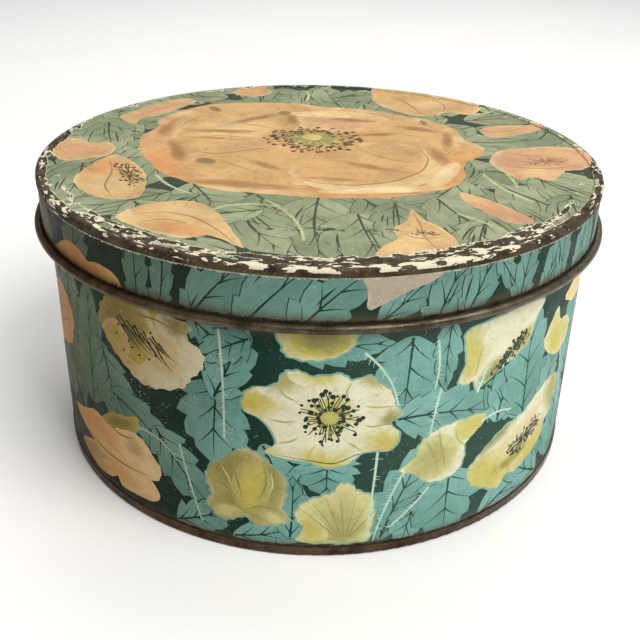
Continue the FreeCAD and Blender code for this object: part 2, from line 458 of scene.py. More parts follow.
def middle_flowers():
    """The open cream flower, the bud and fan below it and the fan above it."""
    bud = Flower(on_wall, OLIVE, OLIVE_PALE, 3.3, 0.5, None, HALO, (-19.5, 35), (-17, 40),
        (-14.5, 44.5), (-12, 47), (-9, 44), (-7, 40), (-5, 36), (-4.8, 28), (-5.4, 22), (-4, 17),
        (-6, 14.5), (-10, 13), (-12.5, 16.5), (-15, 14), (-17.5, 13.5), (-20, 19), (-19, 24),
        (-19.8, 29))
    bud.tints(OLIVE_PALE, (-16, 17, 16, 8, 10, PALE_YELLOW), (-7, 17, 14, 7, -20, PALE_YELLOW),
        (-15.5, 37, 20, 22, 40, OLIVE), (-7.5, 33, 9, 26, 0, OLIVE), (-11.2, 30, 15, 26, -6, YELLOW))
    bud.folds(OLIVE, 0.9, ((-14, 43), (-14.5, 37), (-13.5, 30), (-13, 24)),
        ((-9, 42), (-8.3, 36), (-8.6, 30), (-10, 24)), ((-19, 30), (-16, 29), (-14, 24)),
        ((-12.5, 19), (-10, 22), (-6, 21)), ((-17, 20), (-14, 21), (-12, 18)))
    bud.folds(PALE_YELLOW, 0.7, ((-17, 38), (-15.5, 33), (-15, 29)), ((-7.5, 38), (-7, 32), (-8, 27)))
    fan = Flower(on_wall, OLIVE_PALE, PALE_YELLOW, 4.1, 0.5, (6.5, 8), HALO, (-2.5, 7), (-1.5, 13),
        (-3, 19), (-1.5, 25), (2, 28.5), (4, 30), (5, 33.5), (7, 33.5), (8.5, 30), (11, 27), (11.8, 20),
        (11.2, 12), (10.5, 6.5), (4, 6))
    fan.tints(PALE_YELLOW, (0, 12, 12, 16, 20, YELLOW))
    for i in range(-3, 4):
        fan.crease((6 + 0.4 * i, 9), 90 - 14 * i, 18 + 2 * (i % 2), 8, OLIVE)
    top = Flower(on_wall, YELLOW, PALE_YELLOW, 5.6, 0.4, None, HALO, (-6, 99), (-5.5, 91), (-4.5, 87),
        (-1, 85.5), (3, 86.5), (6, 90), (7, 94), (6, 99))
    top.tints(YELLOW, (1, 93, 20, 12, 0, OLIVE))
    cream = Flower(on_wall, CREAM, CREAM, 6.4, 0.6, (2.5, 62), HALO, (-12.5, 67), (-11, 72.5),
        (-6.5, 75), (-5, 80), (-2.5, 81), (0, 79), (4.5, 80), (6.5, 77.5), (9.5, 79), (11.5, 75.5),
        (13.5, 72), (14.5, 66), (16, 62), (13.5, 59), (15.5, 54), (14, 47.5), (9, 47.5), (6.5, 43),
        (2.5, 41.3), (-1, 44), (-5, 44.5), (-8.5, 47), (-6.5, 51), (-7.5, 57), (-9.5, 61), (-12, 63))
    cream.tints(CREAM, (-11, 68, 26, 17, 10, YELLOW), (-5, 78, 22, 15, 30, OLIVE_PALE),
        (1, 80, 22, 11, 0, YELLOW), (10, 78, 16, 10, -20, OLIVE_PALE), (14, 60, 12, 12, 0, OLIVE),
        (13.5, 50, 28, 16, -14, YELLOW), (2, 42, 30, 19, 0, YELLOW), (-8, 47, 18, 10, -20, PALE_YELLOW),
        (2.8, 63, 20, 20, 0, YELLOW))
    cream.folds(OLIVE_PALE, 0.8, ((-6.5, 75), (-5, 71), (-3, 69)), ((6.5, 77), (5.5, 73), (6, 71)),
        ((14.5, 66), (11, 66), (9, 67)), ((13.5, 59), (10.5, 58), (9, 59)),
        ((9, 47.5), (7, 51), (6, 52)), ((-8, 61), (-5, 60), (-3, 61)),
        ((-6.5, 51), (-4, 52), (-2.5, 54)), ((-1, 44), (-0.5, 48), (0.5, 51)))
    cream.folds(STAMEN, 0.4, ((-7, 46), (-1, 44.5), (4, 42.5), (8, 47), (13, 48)))
    shapes = bud.shapes + fan.shapes + top.shapes + cream.shapes
    shapes += stamens(on_wall(2.8, 62.5), 2.4, 11.8, 40, STAMEN, 8, size=0.75)
    shapes += stamens(on_wall(2.8, 62.5), 2.4, 7, 22, STAMEN, 9, size=0.6)
    return shapes + bloom(oval(on_wall(2.9, 62.5), 6.5, 5.5), YELLOW, OLIVE_PALE, 0.5, 0.0)


def right_flowers():
    """The folded bud and the two tilted flowers on the right, and what shows beyond them."""
    folded = Flower(on_wall, PALE_YELLOW, CREAM, 7.7, 0.4, (25, 34), HALO, (16.3, 37), (19, 42),
        (19.5, 46), (21, 50), (24, 53), (29, 54), (33.5, 53.5), (33.5, 49.5), (31.5, 46), (29.5, 42),
        (29.6, 37), (28.5, 31), (25, 28.5), (21.5, 30), (19.5, 34))
    folded.tints(PALE_YELLOW, (31, 50, 18, 12, 0, YELLOW), (22.5, 40, 22, 20, 30, OLIVE_PALE))
    folded.folds(OLIVE, 0.8, ((23.5, 52), (24, 46), (25, 40), (25.5, 34)))
    folded.folds(OLIVE, 0.7, ((21, 48), (22.5, 43), (23.5, 37)))
    folded.folds(OLIVE_PALE, 0.9, ((29.5, 42), (27.5, 46), (27, 51)))
    tilted = Flower(on_wall, CREAM, CREAM, 8.5, 0.4, (36, 82), HALO, (26.5, 71), (27.8, 78), (27.3, 85),
        (27.5, 91), (34, 93), (42, 94), (47, 92), (45, 86), (44, 80), (42.5, 76), (39, 73), (35, 70),
        (31, 66), (29.8, 70), (28.5, 69))
    tilted.tints(CREAM, (28.5, 80, 18, 34, -4, YELLOW), (34, 70, 26, 12, 32, OLIVE),
        (41.5, 78, 24, 11, 38, OLIVE_PALE))
    tilted.folds(OLIVE_PALE, 0.9, ((31, 84), (30.5, 77), (30, 71)))
    tilted.folds(BUFF, 0.9, ((33, 75), (37, 78), (42, 84)))
    large = Flower(on_wall, BUFF, CREAM, 9.4, 0.5, (45, 31), HALO, (31, 28), (33, 33), (36, 38),
        (40, 42.5), (45, 44), (49, 48), (54, 51), (58, 50), (61, 46), (60, 41), (58.5, 37), (59, 33),
        (56, 30), (54.5, 23), (49, 18.5), (45, 16.5), (42.5, 18), (40, 13.5), (36, 17), (32.5, 21))
    large.tints(BUFF, (37, 22, 44, 24, -6, YELLOW))
    large.tints(CREAM, (38, 41, 32, 11, 26, OLIVE), (58, 42, 24, 24, 0, OLIVE_PALE))
    large.tints(BUFF, (51, 22, 30, 18, 20, YELLOW))
    large.tints(YELLOW, (43, 24, 26, 6, 12, OLIVE))
    large.folds(BUFF, 1.0, ((34, 30), (40, 33), (46, 38), (53, 44)))
    large.folds(OLIVE, 0.8, ((42.5, 18), (43, 22), (42, 26)))
    beyond = Flower(on_wall, YELLOW, PALE_YELLOW, 10.2, 0.4, (56, 68), None, (49.5, 71), (51, 78),
        (54, 84), (56, 77), (60, 75), (64, 69), (63, 62), (58, 60), (53, 64))
    edge = Flower(on_wall, BUFF, PEACH, 11.1, 0.5, None, None, (57, 85), (62, 90), (70, 90), (72, 82),
        (64, 79))
    shapes = folded.shapes + tilted.shapes
    shapes += stamens(on_wall(38.8, 76.8), 0.8, 12, 36, STAMEN, 9, 0.3, 36)
    shapes += large.shapes + stamens(on_wall(47, 31), 1, 14.5, 46, STAMEN, 10, 0.36, 17, size=0.55)
    return shapes + beyond.shapes + edge.shapes


SIDE_STEMS = [
    # degrees, height, heading, length, bend
    (-16.5, 94, -86, 44, -6), (-36, 41, 20, 22, -80), (-25.5, 42, -78, 34, 4), (8.5, 88, -40, 26, -40),
    (21.5, 90, -76, 20, -26), (23, 70, -100, 22, 4), (11.7, 47, -92, 40, -4), (22.5, 27, -128, 22, -14),
    (17, 36, -116, 32, 14), (33, 50, 24, 16, -50), (31, 64, 70, 10, 0), (64, 30, 100, 40, 12),
]


# The print on the back of the side, which carries on in the same manner

BACK_START, BACK_END = 80, 280      # degrees, what the listed print doesn't cover


def unwrapped(degrees):
    """The same direction between -180 and 180 degrees."""
    return (degrees + 180) % 360 - 180


def back_leaves(draw, columns=15):
    shapes = []
    for column in range(columns):
        for row in range(4):
            degrees = BACK_START + (BACK_END - BACK_START) * (column + draw.uniform(0.1, 0.9)) / columns
            root = on_wall(unwrapped(degrees), 8 + 26 * row + draw.uniform(-8, 8))
            heading = draw.choice((90, -90)) + draw.uniform(-38, 38)
            shapes += leaf(root, heading, draw.uniform(40, 52), draw.uniform(22, 28),
                           draw.uniform(-16, 16), 5, SIDE_INKS, draw.random())
    return shapes


def lobed(centre, reach, lobes, flat, turn, seed):
    """Points of a flower seen open, its petals as lobes of a flattened circle."""
    points = oval((0, 0), 2, 2, 0, 5 * lobes)
    angles = directions(points)
    rim = reach * (1 + 0.1 * np.cos(lobes * angles + seed) + 0.07 * np.sin(3 * angles + 2 * seed))
    c, s = math.cos(math.radians(turn)), math.sin(math.radians(turn))
    return (points * rim[:, None]) @ (np.array([[c, s], [-s, c]]) * [[1], [flat]]) + centre


def open_flower(middle, draw):
    flat, turn, seed = draw.uniform(0.55, 0.95), draw.uniform(-60, 60), draw.uniform(0, 9)
    points = lobed(middle, draw.uniform(19, 24), 5, flat, turn, seed)
    flower = Flower(plain, BUFF, CREAM, seed, 0.5, None, HALO, *points)
    for angle in (20, 140, 250):
        way = math.radians(angle + 20 * seed)
        spot = (middle[0] + 17 * math.cos(way), middle[1] + 17 * flat * math.sin(way))
        flower.tints(CREAM, (*spot, 20, 14, angle, YELLOW))
    return flower.shapes + stamens(middle, 2, 10, 36, STAMEN, seed, flat, turn)


def closed_flower(middle, draw, ink, tip, halo):
    seed, turn = draw.uniform(0, 9), draw.uniform(-50, 50)
    points = lobed(middle, draw.uniform(12, 15), 3, 0.85, 90 + turn, seed)
    flower = Flower(plain, ink, tip, seed, 0.5, None, halo, *points)
    for fan in (-50, -20, 15, 45):
        flower.crease(middle, 90 + turn + fan, 11, 10, ink)
    return flower.shapes


def back_flowers(draw, columns=9):
    """Two rows of flowers, open ones among closed ones in two colours."""
    shapes = []
    first = BACK_START + 8
    for column in range(columns):
        for row in range(2):
            degrees = first + (BACK_END - first) * (column + 0.5 * (row % 2)) / columns
            middle = on_wall(unwrapped(degrees), 30 + 40 * row + draw.uniform(-10, 10))
            kind = (column + 2 * row) % 4
            inks = (OLIVE, PALE_YELLOW) if kind == 1 else (ORANGE, PEACH)
            if kind in (0, 3):
                shapes += open_flower(middle, draw)
            else:
                shapes += closed_flower(middle, draw, *inks, HALO)
    return shapes


def side_print():
    """Every patch of the side's print, from the lowest to the topmost.

    The leaves are drawn a little larger than listed, so that they overlap.
    """
    draw = random.Random(11)
    shapes = back_leaves(draw)
    for i, (degrees, height, heading, length, width, bend) in enumerate(SIDE_LEAVES):
        shapes += leaf(on_wall(degrees, height), heading, length * 1.06, width * 1.12, bend,
                       4 + (length > 40), SIDE_INKS if i % 3 else SIDE_INKS[::-1], i * 0.37)
    shapes += back_flowers(draw) + left_flowers() + middle_flowers() + right_flowers()
    for i, (degrees, height, *line) in enumerate(SIDE_STEMS):
        shapes += stem(on_wall(degrees, height), *line, STEM, 14, 1.0, i)
    return shapes


# The print on the skirt, with places as (degrees from the front, height)

SKIRT_LEAVES = [
    # degrees, height, heading, length, width, bend
    (-72, 96, 74, 34, 14, 0), (-62, 97, 98, 32, 14, 0), (-49, 98, 80, 30, 16, 8),
    (-31.5, 96, 90, 34, 11, 0), (-27, 96, 80, 34, 9, 8), (-21.5, 96, 60, 36, 16, -22),
    (-12.5, 96, 54, 38, 18, -16), (-3.5, 96, 52, 38, 17, -18), (10, 100, 36, 32, 11, 18),
    (19.5, 95, 72, 32, 14, -8), (25, 96, 62, 34, 14, 14), (31, 120, -60, 30, 8, 16),
    (37, 96, 84, 34, 11, -8), (42.5, 96, 62, 38, 10, 10), (49, 96, 92, 34, 9, 0),
    (54.5, 96, 72, 34, 10, 0), (61, 95, 96, 34, 10, 0), (66.5, 96, 70, 34, 11, 6),
    (74, 96, 92, 34, 14, 0),
]


def skirt_print(count=38):
    """Slanting leaves all round, by formula where none are listed, with a few flowers."""
    draw = random.Random(5)
    shapes = []
    start, span = 78, 206               # degrees, what the listed leaves don't cover
    for i in range(count):
        degrees = start + span * (i + draw.uniform(0.3, 0.7)) / count
        heading = draw.choice((42, 50, 58, 80, 112))
        width = draw.uniform(11, 16)
        shapes += leaf(on_skirt(unwrapped(degrees), 96), heading, draw.uniform(32, 40), width,
                       draw.uniform(-30, 30), 4, SKIRT_INKS, draw.random(), 2)
    for i, (degrees, height, *blade) in enumerate(SKIRT_LEAVES):
        shapes += leaf(on_skirt(degrees, height), *blade, 4, SKIRT_INKS, i * 0.37, 1)
    peach = Flower(on_skirt, ORANGE, PEACH, 0.4, 0.3, None, None, (-58, 99), (-55, 105), (-51, 109),
        (-47, 109), (-44, 106), (-41, 107), (-37, 106), (-35, 102), (-37, 99))
    corner = Flower(on_skirt, FADED, FADED, 2.7, 0.2, None, None, (8, 119), (8.2, 112), (8.4, 105.5),
        (11, 107.5), (13.5, 110), (16, 112), (19, 114), (21, 119))
    shapes += peach.shapes + corner.shapes
    middle = (SKIRT_LOW.z + SKIRT_HIGH.z) / 2 + 1
    for degrees in (100, 150, -105, -150):
        shapes += closed_flower(on_skirt(degrees, middle), draw, ORANGE, PEACH, VEIN)
    return shapes


# The print on the lid, with places as (x, y)

LID_LEAVES = [
    # x, y, heading, length, width, bend
    (-24, -48, -56, 56, 24, -30), (0, -50, -96, 56, 26, 16), (16, -50, -58, 60, 24, -30),
    (14, -66, -84, 46, 26, 10), (-30, -60, -74, 44, 26, 16), (44, -48, -72, 50, 22, 10),
    (-44, -50, -120, 44, 20, 24), (70, -34, -50, 56, 25, -16), (66, -16, -12, 50, 22, -20),
    (86, -22, -64, 44, 22, 20), (-56, -48, -140, 44, 20, -18), (-68, -58, -62, 38, 18, 20),
    (-66, 12, 166, 46, 22, 12), (-80, 24, 150, 36, 20, -12), (-98, 40, -80, 40, 19, 10),
    (-60, 74, 130, 46, 22, 14), (-30, 76, 100, 38, 19, -18), (-8, 70, 70, 44, 24, 20),
    (12, 66, 110, 46, 22, -14), (68, 56, 12, 46, 22, 12), (72, 44, -22, 42, 20, -16),
    (62, 20, 8, 48, 22, 10), (98, 28, 60, 34, 19, 12), (-20, -64, 200, 34, 18, -20),
    (28, -54, -86, 36, 17, -10), (60, -70, -110, 38, 18, 16), (96, -42, -100, 36, 18, 16),
    (-86, -4, -120, 40, 19, 10), (-96, -18, -80, 40, 19, -12), (82, 68, 60, 36, 19, 14),
    (4, 92, 20, 32, 18, 10), (-48, 88, 170, 36, 18, 10),
]
LID_FLOWERS = [
    # ink, tip, points of the outline
    (LID_PINK, LID_TAN, (-114, 12), (-106, 14), (-98, 8), (-92, 10), (-87, 2), (-88, -8), (-95, -12),
     (-103, -16), (-110, -10), (-114, 0)),
    (LID_PINK, LID_TAN, (-63, 80), (-68, 84), (-76, 80), (-84, 70), (-90, 60), (-95, 50), (-92, 44),
     (-86, 38), (-84, 46), (-78, 52), (-72, 60), (-66, 72)),
    (LID_TAN, LID_PINK, (-44, 104), (-46, 98), (-42, 93), (-35, 91), (-28, 96), (-27, 104), (-33, 110),
     (-40, 109)),
    (LID_TAN, LID_TAN, (27, 112), (26, 100), (26, 90), (30, 78), (38, 68), (46, 62), (56, 64), (62, 70),
     (72, 66), (78, 75), (80, 85), (72, 92), (60, 100), (50, 108), (40, 114)),
    (LID_TAN, LID_PINK, (74, 34), (74, 42), (82, 48), (95, 51), (105, 51), (100, 42), (92, 36),
     (84, 31), (77, 30)),
    (LID_PINK, LID_PINK, (71, -5), (74, 5), (80, 12), (90, 15), (100, 18), (110, 17), (115, 8),
     (114, -4), (108, -12), (101, -14), (97, -20), (92, -26), (85, -23), (80, -26), (75, -18),
     (72, -12)),
    (LID_PINK, LID_PINK, (54, -42), (60, -46), (66, -52), (73, -62), (77, -70), (70, -73), (63, -66),
     (57, -56), (54, -50)),
    (LID_PALE, LID_TAN, (34, -61), (37, -70), (43, -78), (47, -90), (45, -101), (35, -107), (25, -105),
     (19, -103), (22, -95), (27, -88), (26, -80), (31, -73)),
    (LID_TAN, LID_PALE, (-71, -75), (-67, -66), (-60, -60), (-50, -57), (-42, -60), (-37, -66),
     (-33, -74), (-29, -85), (-24, -99), (-32, -92), (-38, -89), (-45, -92), (-55, -88), (-64, -82)),
    (LID_TAN, LID_TAN, (-86, -7), (-79, -12), (-72, -22), (-68, -32), (-66, -45), (-67, -55),
     (-75, -58), (-83, -55), (-90, -48), (-95, -38), (-94, -26), (-90, -15)),
]
LID_STEMS = [
    # x, y, heading, length, bend
    (-40, -68, 62, 34, -110), (-20, -54, -48, 42, -40), (50, -64, -38, 24, -20), (72, -6, -70, 30, -20),
    (66, -20, -80, 34, 30), (-64, -30, -70, 26, 40), (-8, 84, 80, 22, 20), (74, 66, 30, 26, 20),
]


def lid_flowers():
    """The flowers round the great poppy."""
    flowers = [Flower(plain, ink, tip, 0.7 * i, 0.25, None, None, *points)
               for i, (ink, tip, *points) in enumerate(LID_FLOWERS)]
    far_left, upper_left, top, upper_right, petal, right, slip, front, dome, left = flowers
    far_left.folds(LID_SHADE, 0.6, ((-110, 8), (-100, 2), (-92, 0)))
    upper_left.folds(LID_SHADE, 0.9, ((-72, 74), (-80, 62), (-88, 50)))
    top.folds(LID_SHADE, 0.6, ((-42, 100), (-35, 98), (-30, 102)))
    upper_right.tints(LID_TAN, (55, 84, 34, 20, 30, LID_PALE))
    upper_right.folds(LID_SHADE, 1.1, ((34, 100), (42, 88), (46, 74), (50, 64)))
    upper_right.folds(LID_SHADE, 0.9, ((60, 72), (62, 82), (56, 96)))
    petal.folds(LID_SHADE, 0.8, ((76, 36), (86, 40), (98, 47)))
    right.tints(LID_PINK, (88, -16, 22, 18, 0, LID_PALE), (100, 8, 26, 12, 0, LID_TAN))
    right.folds(LID_SHADE, 0.9, ((74, -8), (84, -12), (96, -12), (108, -6)))
    right.folds(LID_SHADE, 0.8, ((78, 8), (88, 4), (100, 6)))
    slip.tints(LID_PINK, (56, -45, 26, 18, -50, LID_PALE))
    front.tints(LID_TAN, (30, -98, 24, 14, 0, LID_PALE))
    front.folds(LID_SHADE, 0.8, ((34, -64), (36, -76), (36, -86), (40, -98)),
        ((28, -84), (34, -88), (44, -86)))
    dome.tints(LID_TAN, (-50, -68, 40, 20, -20, LID_PALE), (-48, -84, 30, 10, -16, LID_ORANGE))
    dome.folds(LID_SHADE, 0.9, ((-66, -72), (-56, -68), (-44, -72), (-34, -84), (-27, -96)))
    dome.folds(LID_SHADE, 0.8, ((-62, -78), (-52, -75), (-44, -80)))
    left.tints(LID_TAN, (-80, -44, 26, 30, 10, LID_PALE), (-88, -22, 16, 26, -20, LID_ORANGE))
    left.folds(LID_SHADE, 0.9, ((-86, -14), (-82, -28), (-82, -44), (-76, -56)))
    shapes = [shape for flower in flowers for shape in flower.shapes]
    shapes += stamens((95, -2), 1, 10, 16, LID_STAMEN, 2, 0.5, 10, size=0.4)
    shapes += stamens((37, -83), 0.5, 6, 12, LID_STAMEN, 3, 0.5, -10, size=0.35)
    return shapes + stamens((-75, -30), 1, 15, 34, LID_STAMEN, 4, 0.34, -66, size=0.7)


def great_poppy():
    """The large open poppy in the middle of the lid."""
    poppy = Flower(plain, LID_PEACH, LID_PEACH, 9.7, 0.35, (-3, 20), None, (-78, 8), (-79, 20),
        (-74, 34), (-76, 45), (-68, 60), (-58, 72), (-45, 78), (-30, 80), (-12, 80), (0, 75), (15, 73),
        (30, 68), (42, 60), (52, 54), (62, 40), (64, 26), (71, 14), (68, 2), (60, -8), (58, -25),
        (50, -38), (35, -46), (20, -50), (0, -51), (-20, -48), (-38, -45), (-50, -38), (-63, -27),
        (-71, -12), (-76, -2))
    poppy.tints(LID_PEACH, (-66, -12, 34, 60, 30, LID_ORANGE), (-74, 24, 24, 56, 0, LID_PINK),
        (20, -46, 90, 18, 4, LID_ORANGE), (60, -16, 26, 60, -16, LID_ORANGE),
        (-30, -44, 60, 14, -8, LID_PALE), (-40, 74, 70, 16, 16, LID_TAN))
    poppy.petal(LID_PALE, LID_PEACH, 1.3, (-62, 5), (-66, 25), (-62, 45), (-50, 62), (-34, 70),
        (-18, 62), (-12, 48), (-10, 32), (-18, 14), (-30, 4), (-46, -2))
    poppy.petal(LID_PINK, LID_PALE, 2.1, (-17, 60), (-4, 66), (14, 66), (30, 58), (34, 44), (18, 32),
        (4, 34), (-8, 38))
    poppy.petal(LID_TAN, LID_PEACH, 3.7, (18, 40), (34, 54), (48, 48), (58, 32), (60, 14), (52, 0),
        (38, -4), (24, 8), (12, 24))
    poppy.petal(LID_TAN, LID_PEACH, 4.6, (-58, -8), (-52, -22), (-38, -34), (-20, -38), (-4, -36),
        (4, -22), (0, -4), (-8, 12), (-24, 10), (-40, 6))
    poppy.petal(LID_PALE, LID_PALE, 5.9, (-6, -34), (4, -43), (20, -44), (36, -38), (50, -26), (54, -8),
        (48, 8), (34, 8), (16, -8), (4, -22))
    poppy.petal(LID_TAN, LID_PEACH, 6.8, (-10, -12), (-12, -26), (-2, -35), (14, -37), (30, -31),
        (42, -18), (46, -2), (42, 12), (28, 20), (12, 12), (0, 6))
    poppy.folds(LID_SHADE, 1.2,
        ((-12, -26), (-2, -35), (14, -37), (30, -31), (42, -18), (46, -2), (42, 12)))
    poppy.folds(LID_SHADE, 0.9, ((54, -8), (50, -26), (36, -38), (20, -44), (4, -43)))
    poppy.folds(LID_SHADE, 1.0, ((-17, 60), (-14, 50), (-18, 38)))
    poppy.folds(LID_SHADE, 1.3, ((-34, -34), (-20, -37), (-4, -40), (6, -44)))
    poppy.folds(LID_SHADE, 0.9, ((-62, 5), (-46, -3), (-30, 3), (-18, 12)),
        ((60, 14), (52, 0), (46, -4)))
    poppy.folds(LID_SHADE, 1.0, ((-55, 21), (-42, 23), (-28, 20)), ((-52, 30), (-40, 27), (-28, 28)))
    poppy.folds(LID_SHADE, 0.8, ((-66, 25), (-62, 45), (-50, 62), (-34, 70)),
        ((34, 54), (48, 48), (58, 32)), ((16, 8), (28, -4), (40, -8)), ((18, 28), (34, 32), (50, 26)))
    poppy.folds(LID_SHADE, 0.7, ((-44, -10), (-32, -18), (-20, -30)), ((-8, 40), (4, 48), (12, 60)))
    poppy.folds(LID_SHADE, 0.8, ((-40, 44), (-28, 40), (-20, 34)))
    poppy.tints(LID_PEACH, (-44, 30, 34, 5, 3), (-46, 19, 30, 4, -4), (-32, -38, 60, 9, -8),
        (-60, -2, 8, 40, 16), (26, 30, 30, 6, 10), (44, 40, 24, 8, -24), (50, 2, 8, 30, 10),
        (-14, 52, 6, 26, 12), (6, -30, 30, 5, -6), (-70, 30, 8, 40, -8), (20, -14, 36, 7, -24),
        (-30, 52, 36, 6, 40), (56, 22, 6, 30, -6), (14, 52, 26, 7, -10), (-24, -14, 30, 6, -40),
        (36, -42, 30, 5, 18), ink=LID_SHADE)
    poppy.tints(LID_PALE, (24, -41, 50, 8, 8), (50, -22, 9, 34, -24), (0, 60, 30, 10, -4),
        ink=LID_GLEAM)
    poppy.tints(LID_SHADE, (-52, 66, 5, 9, 30), (-18, 62, 6, 8, 0), (-47, -12, 9, 7, -30),
        (48, 50, 3, 9, 10), ink=LID_EYE)
    poppy.tints(LID_PEACH, (-3, 22, 30, 27, 0, LID_EYE_PALE))
    shapes = poppy.shapes + stamens((-3, 22), 3, 14, 90, LID_EYE, 5, 0.9, size=0.5)
    shapes += stamens((-3, 21), 15, 23, 84, LID_STAMEN, 6, 0.82, size=0.95)
    shapes += stamens((-3, 21), 13, 19, 60, LID_STAMEN, 7, 0.82, size=0.7)
    return shapes + bloom(oval((-4, 24), 9, 8), LID_EYE_PALE, LID_EYE_PALE, 0.0, 0.0)


def lid_print():
    """Rings of leaves, the listed leaves and flowers over them, and stems on top."""
    draw = random.Random(23)
    shapes = []
    for ring, count in ((104, 22), (84, 18), (62, 12)):
        for i in range(count):
            angle = math.radians(360 * (i + draw.uniform(0.1, 0.9)) / count)
            root = (math.cos(angle) * ring, math.sin(angle) * ring)
            heading = math.degrees(angle) + draw.choice((70, -70, 180, 150)) + draw.uniform(-30, 30)
            shapes += leaf(root, heading, draw.uniform(40, 52), draw.uniform(23, 29),
                           draw.uniform(-24, 24), 4, LID_INKS, draw.random(), 3, LID_VEIN)
    for i, (x, y, heading, length, width, bend) in enumerate(LID_LEAVES):
        inks = LID_INKS if i % 2 else LID_INKS[::-1]
        shapes += leaf((x, y), heading, length * 1.06, width * 1.1, bend, 4, inks, i * 0.41, 5, LID_VEIN)
    shapes += lid_flowers() + great_poppy()
    for i, (x, y, *line) in enumerate(LID_STEMS):
        shapes += stem((x, y), *line, LID_STEM, 5, 1.5, i)
    return shapes


# Sheets cut along the print

KINDS = ("flat", "leaf", "petal")
SMALLEST_PATCH = 0.04   # square millimetres; smaller patches are left out
EDGE_ROOM = 0.5         # what the print holds past a sheet's edge is pressed into this width
HALF_PRESSED = 6        # millimetres past the edge that take up half of that room
SHARP = math.radians(50)            # edges that turn by more are creases
BLACK = (0, 0, 0)


def squeezed(distance, limit):
    """Distances kept up to the limit, with all that lies past it pressed into a little room."""
    past = np.maximum(np.abs(distance) - limit, 0)
    pressed = EDGE_ROOM * past / (past + HALF_PRESSED)
    return np.sign(distance) * (np.minimum(np.abs(distance), limit) + pressed)


def area_of(ring):
    """Area inside an outline, negative if it runs clockwise."""
    x, y = ring[:, 0], ring[:, 1]
    return float(np.sum(x * np.roll(y, -1) - np.roll(x, -1) * y)) / 2


def new_mesh(name, points, faces, materials):
    """A mesh of points in millimetres."""
    mesh = bpy.data.meshes.new(name)
    mesh.from_pydata([Vector(p) * MM for p in points], [], faces)
    for material in materials:
        mesh.materials.append(material)
    return mesh


def face_outward(mesh):
    """Turns every face of a closed mesh to face out of the metal."""
    work = bmesh.new()
    work.from_mesh(mesh)
    bmesh.ops.recalc_face_normals(work, faces=work.faces)
    work.to_mesh(mesh)
    work.free()


def add_object(name, data):
    thing = bpy.data.objects.new(name, data)
    bpy.context.scene.collection.objects.link(thing)
    return thing


class Sheet:
    """A closed sheet metal shell, whose printed face is cut along the outlines of its print."""

    def __init__(self):
        self.points = {}
        self.faces, self.slots = [], []
        self.places, self.inks, self.tips = [], [], []

    def vertex(self, point):
        key = tuple(round(c, 4) for c in point)
        return self.points.setdefault(key, len(self.points))

    def add(self, ring, slot, place=None, ink=BLACK, tip=BLACK):
        """A face, left out if its corners have fallen together."""
        if len(set(ring)) < 3:
            return
        count = len(ring)
        self.faces.append(ring)
        self.slots.append(slot)
        self.places.extend([(0, 0, 0)] * count if place is None else place)
        self.inks.extend([(*ink, 1)] * count)
        self.tips.extend([(*tip, 1)] * count)

    def add_print(self, shapes, grid, edges, fit, wrap, ground):
        """Cuts the flat chart along the shapes, fitted to the sheet, and wraps it on to the sheet."""
        points = [Vector(p) for p in grid]
        rings, cut = [], []
        for shape in shapes:
            outline = fit(shape.outline)
            area = area_of(outline)
            if abs(area) < SMALLEST_PATCH:
                continue
            cut.append(shape)
            rings.append(list(range(len(points), len(points) + len(outline))))
            points += [Vector(p) for p in (outline if area > 0 else outline[::-1])]
        flat, _, triangles, _, _, owners = delaunay_2d_cdt(points, edges, rings, 0, 1e-5, True)
        chart = np.array([tuple(p) for p in flat])
        wrapped = [self.vertex(p) for p in wrap(chart)]
        number = {id(shape): i for i, shape in enumerate(cut)}
        by_shape = {}
        for triangle, inside in zip(triangles, owners):
            held = set(inside)
            allowed = (i for i in held if cut[i].within is None or number.get(id(cut[i].within)) in held)
            by_shape.setdefault(max(allowed, default=-1), []).append(triangle)
        cut.append(Shape([], ground))       # the last one, so that -1 finds it
        for owner, members in by_shape.items():
            shape = cut[owner]
            local = shape.place(chart[np.array(members).reshape(-1)])
            slot = KINDS.index(shape.kind)
            for i, triangle in enumerate(members):
                corners = [wrapped[k] for k in triangle]
                self.add(corners, slot, local[3 * i:3 * i + 3], shape.ink, shape.tip)

    def add_rows(self, rows):
        """Joins rings of points, each ring a full turn, with bare sheet."""
        for lower, upper in zip(rows, rows[1:]):
            for i in range(TURNS):
                j = (i + 1) % TURNS
                self.add([lower[i], lower[j], upper[j], upper[i]], len(KINDS))

    def build(self, name, materials):
        mesh = new_mesh(name, self.points, self.faces, materials)
        mesh.polygons.foreach_set("material_index", self.slots)
        mesh.polygons.foreach_set("use_smooth", [True] * len(self.faces))
        for label, kind, key, values in (("place", "FLOAT_VECTOR", "vector", self.places),
                                         ("ink", "FLOAT_COLOR", "color", self.inks),
                                         ("tip", "FLOAT_COLOR", "color", self.tips)):
            layer = mesh.attributes.new(label, kind, "CORNER")
            layer.data.foreach_set(key, np.asarray(values, np.float32).ravel())
        mesh.validate()
        face_outward(mesh)
        mesh.set_sharp_from_angle(angle=SHARP)
        return add_object(name, mesh)


TURNS = 600             # points round the tin
ANGLES = np.linspace(-math.pi, math.pi, TURNS, endpoint=False)


def around(angles, radii, heights, dent=None):
    """Points at an angle from the front, a radius and a height."""
    if dent:
        radii = radii + dent(angles, heights)
    return np.stack([np.sin(angles) * radii, -np.cos(angles) * radii, heights], axis=1)


def ring_points(radius, height, dent=None):
    """A full turn of points, from the seam round by the front, in millimetres."""
    return around(ANGLES, np.full(TURNS, radius), np.full(TURNS, height), dent)


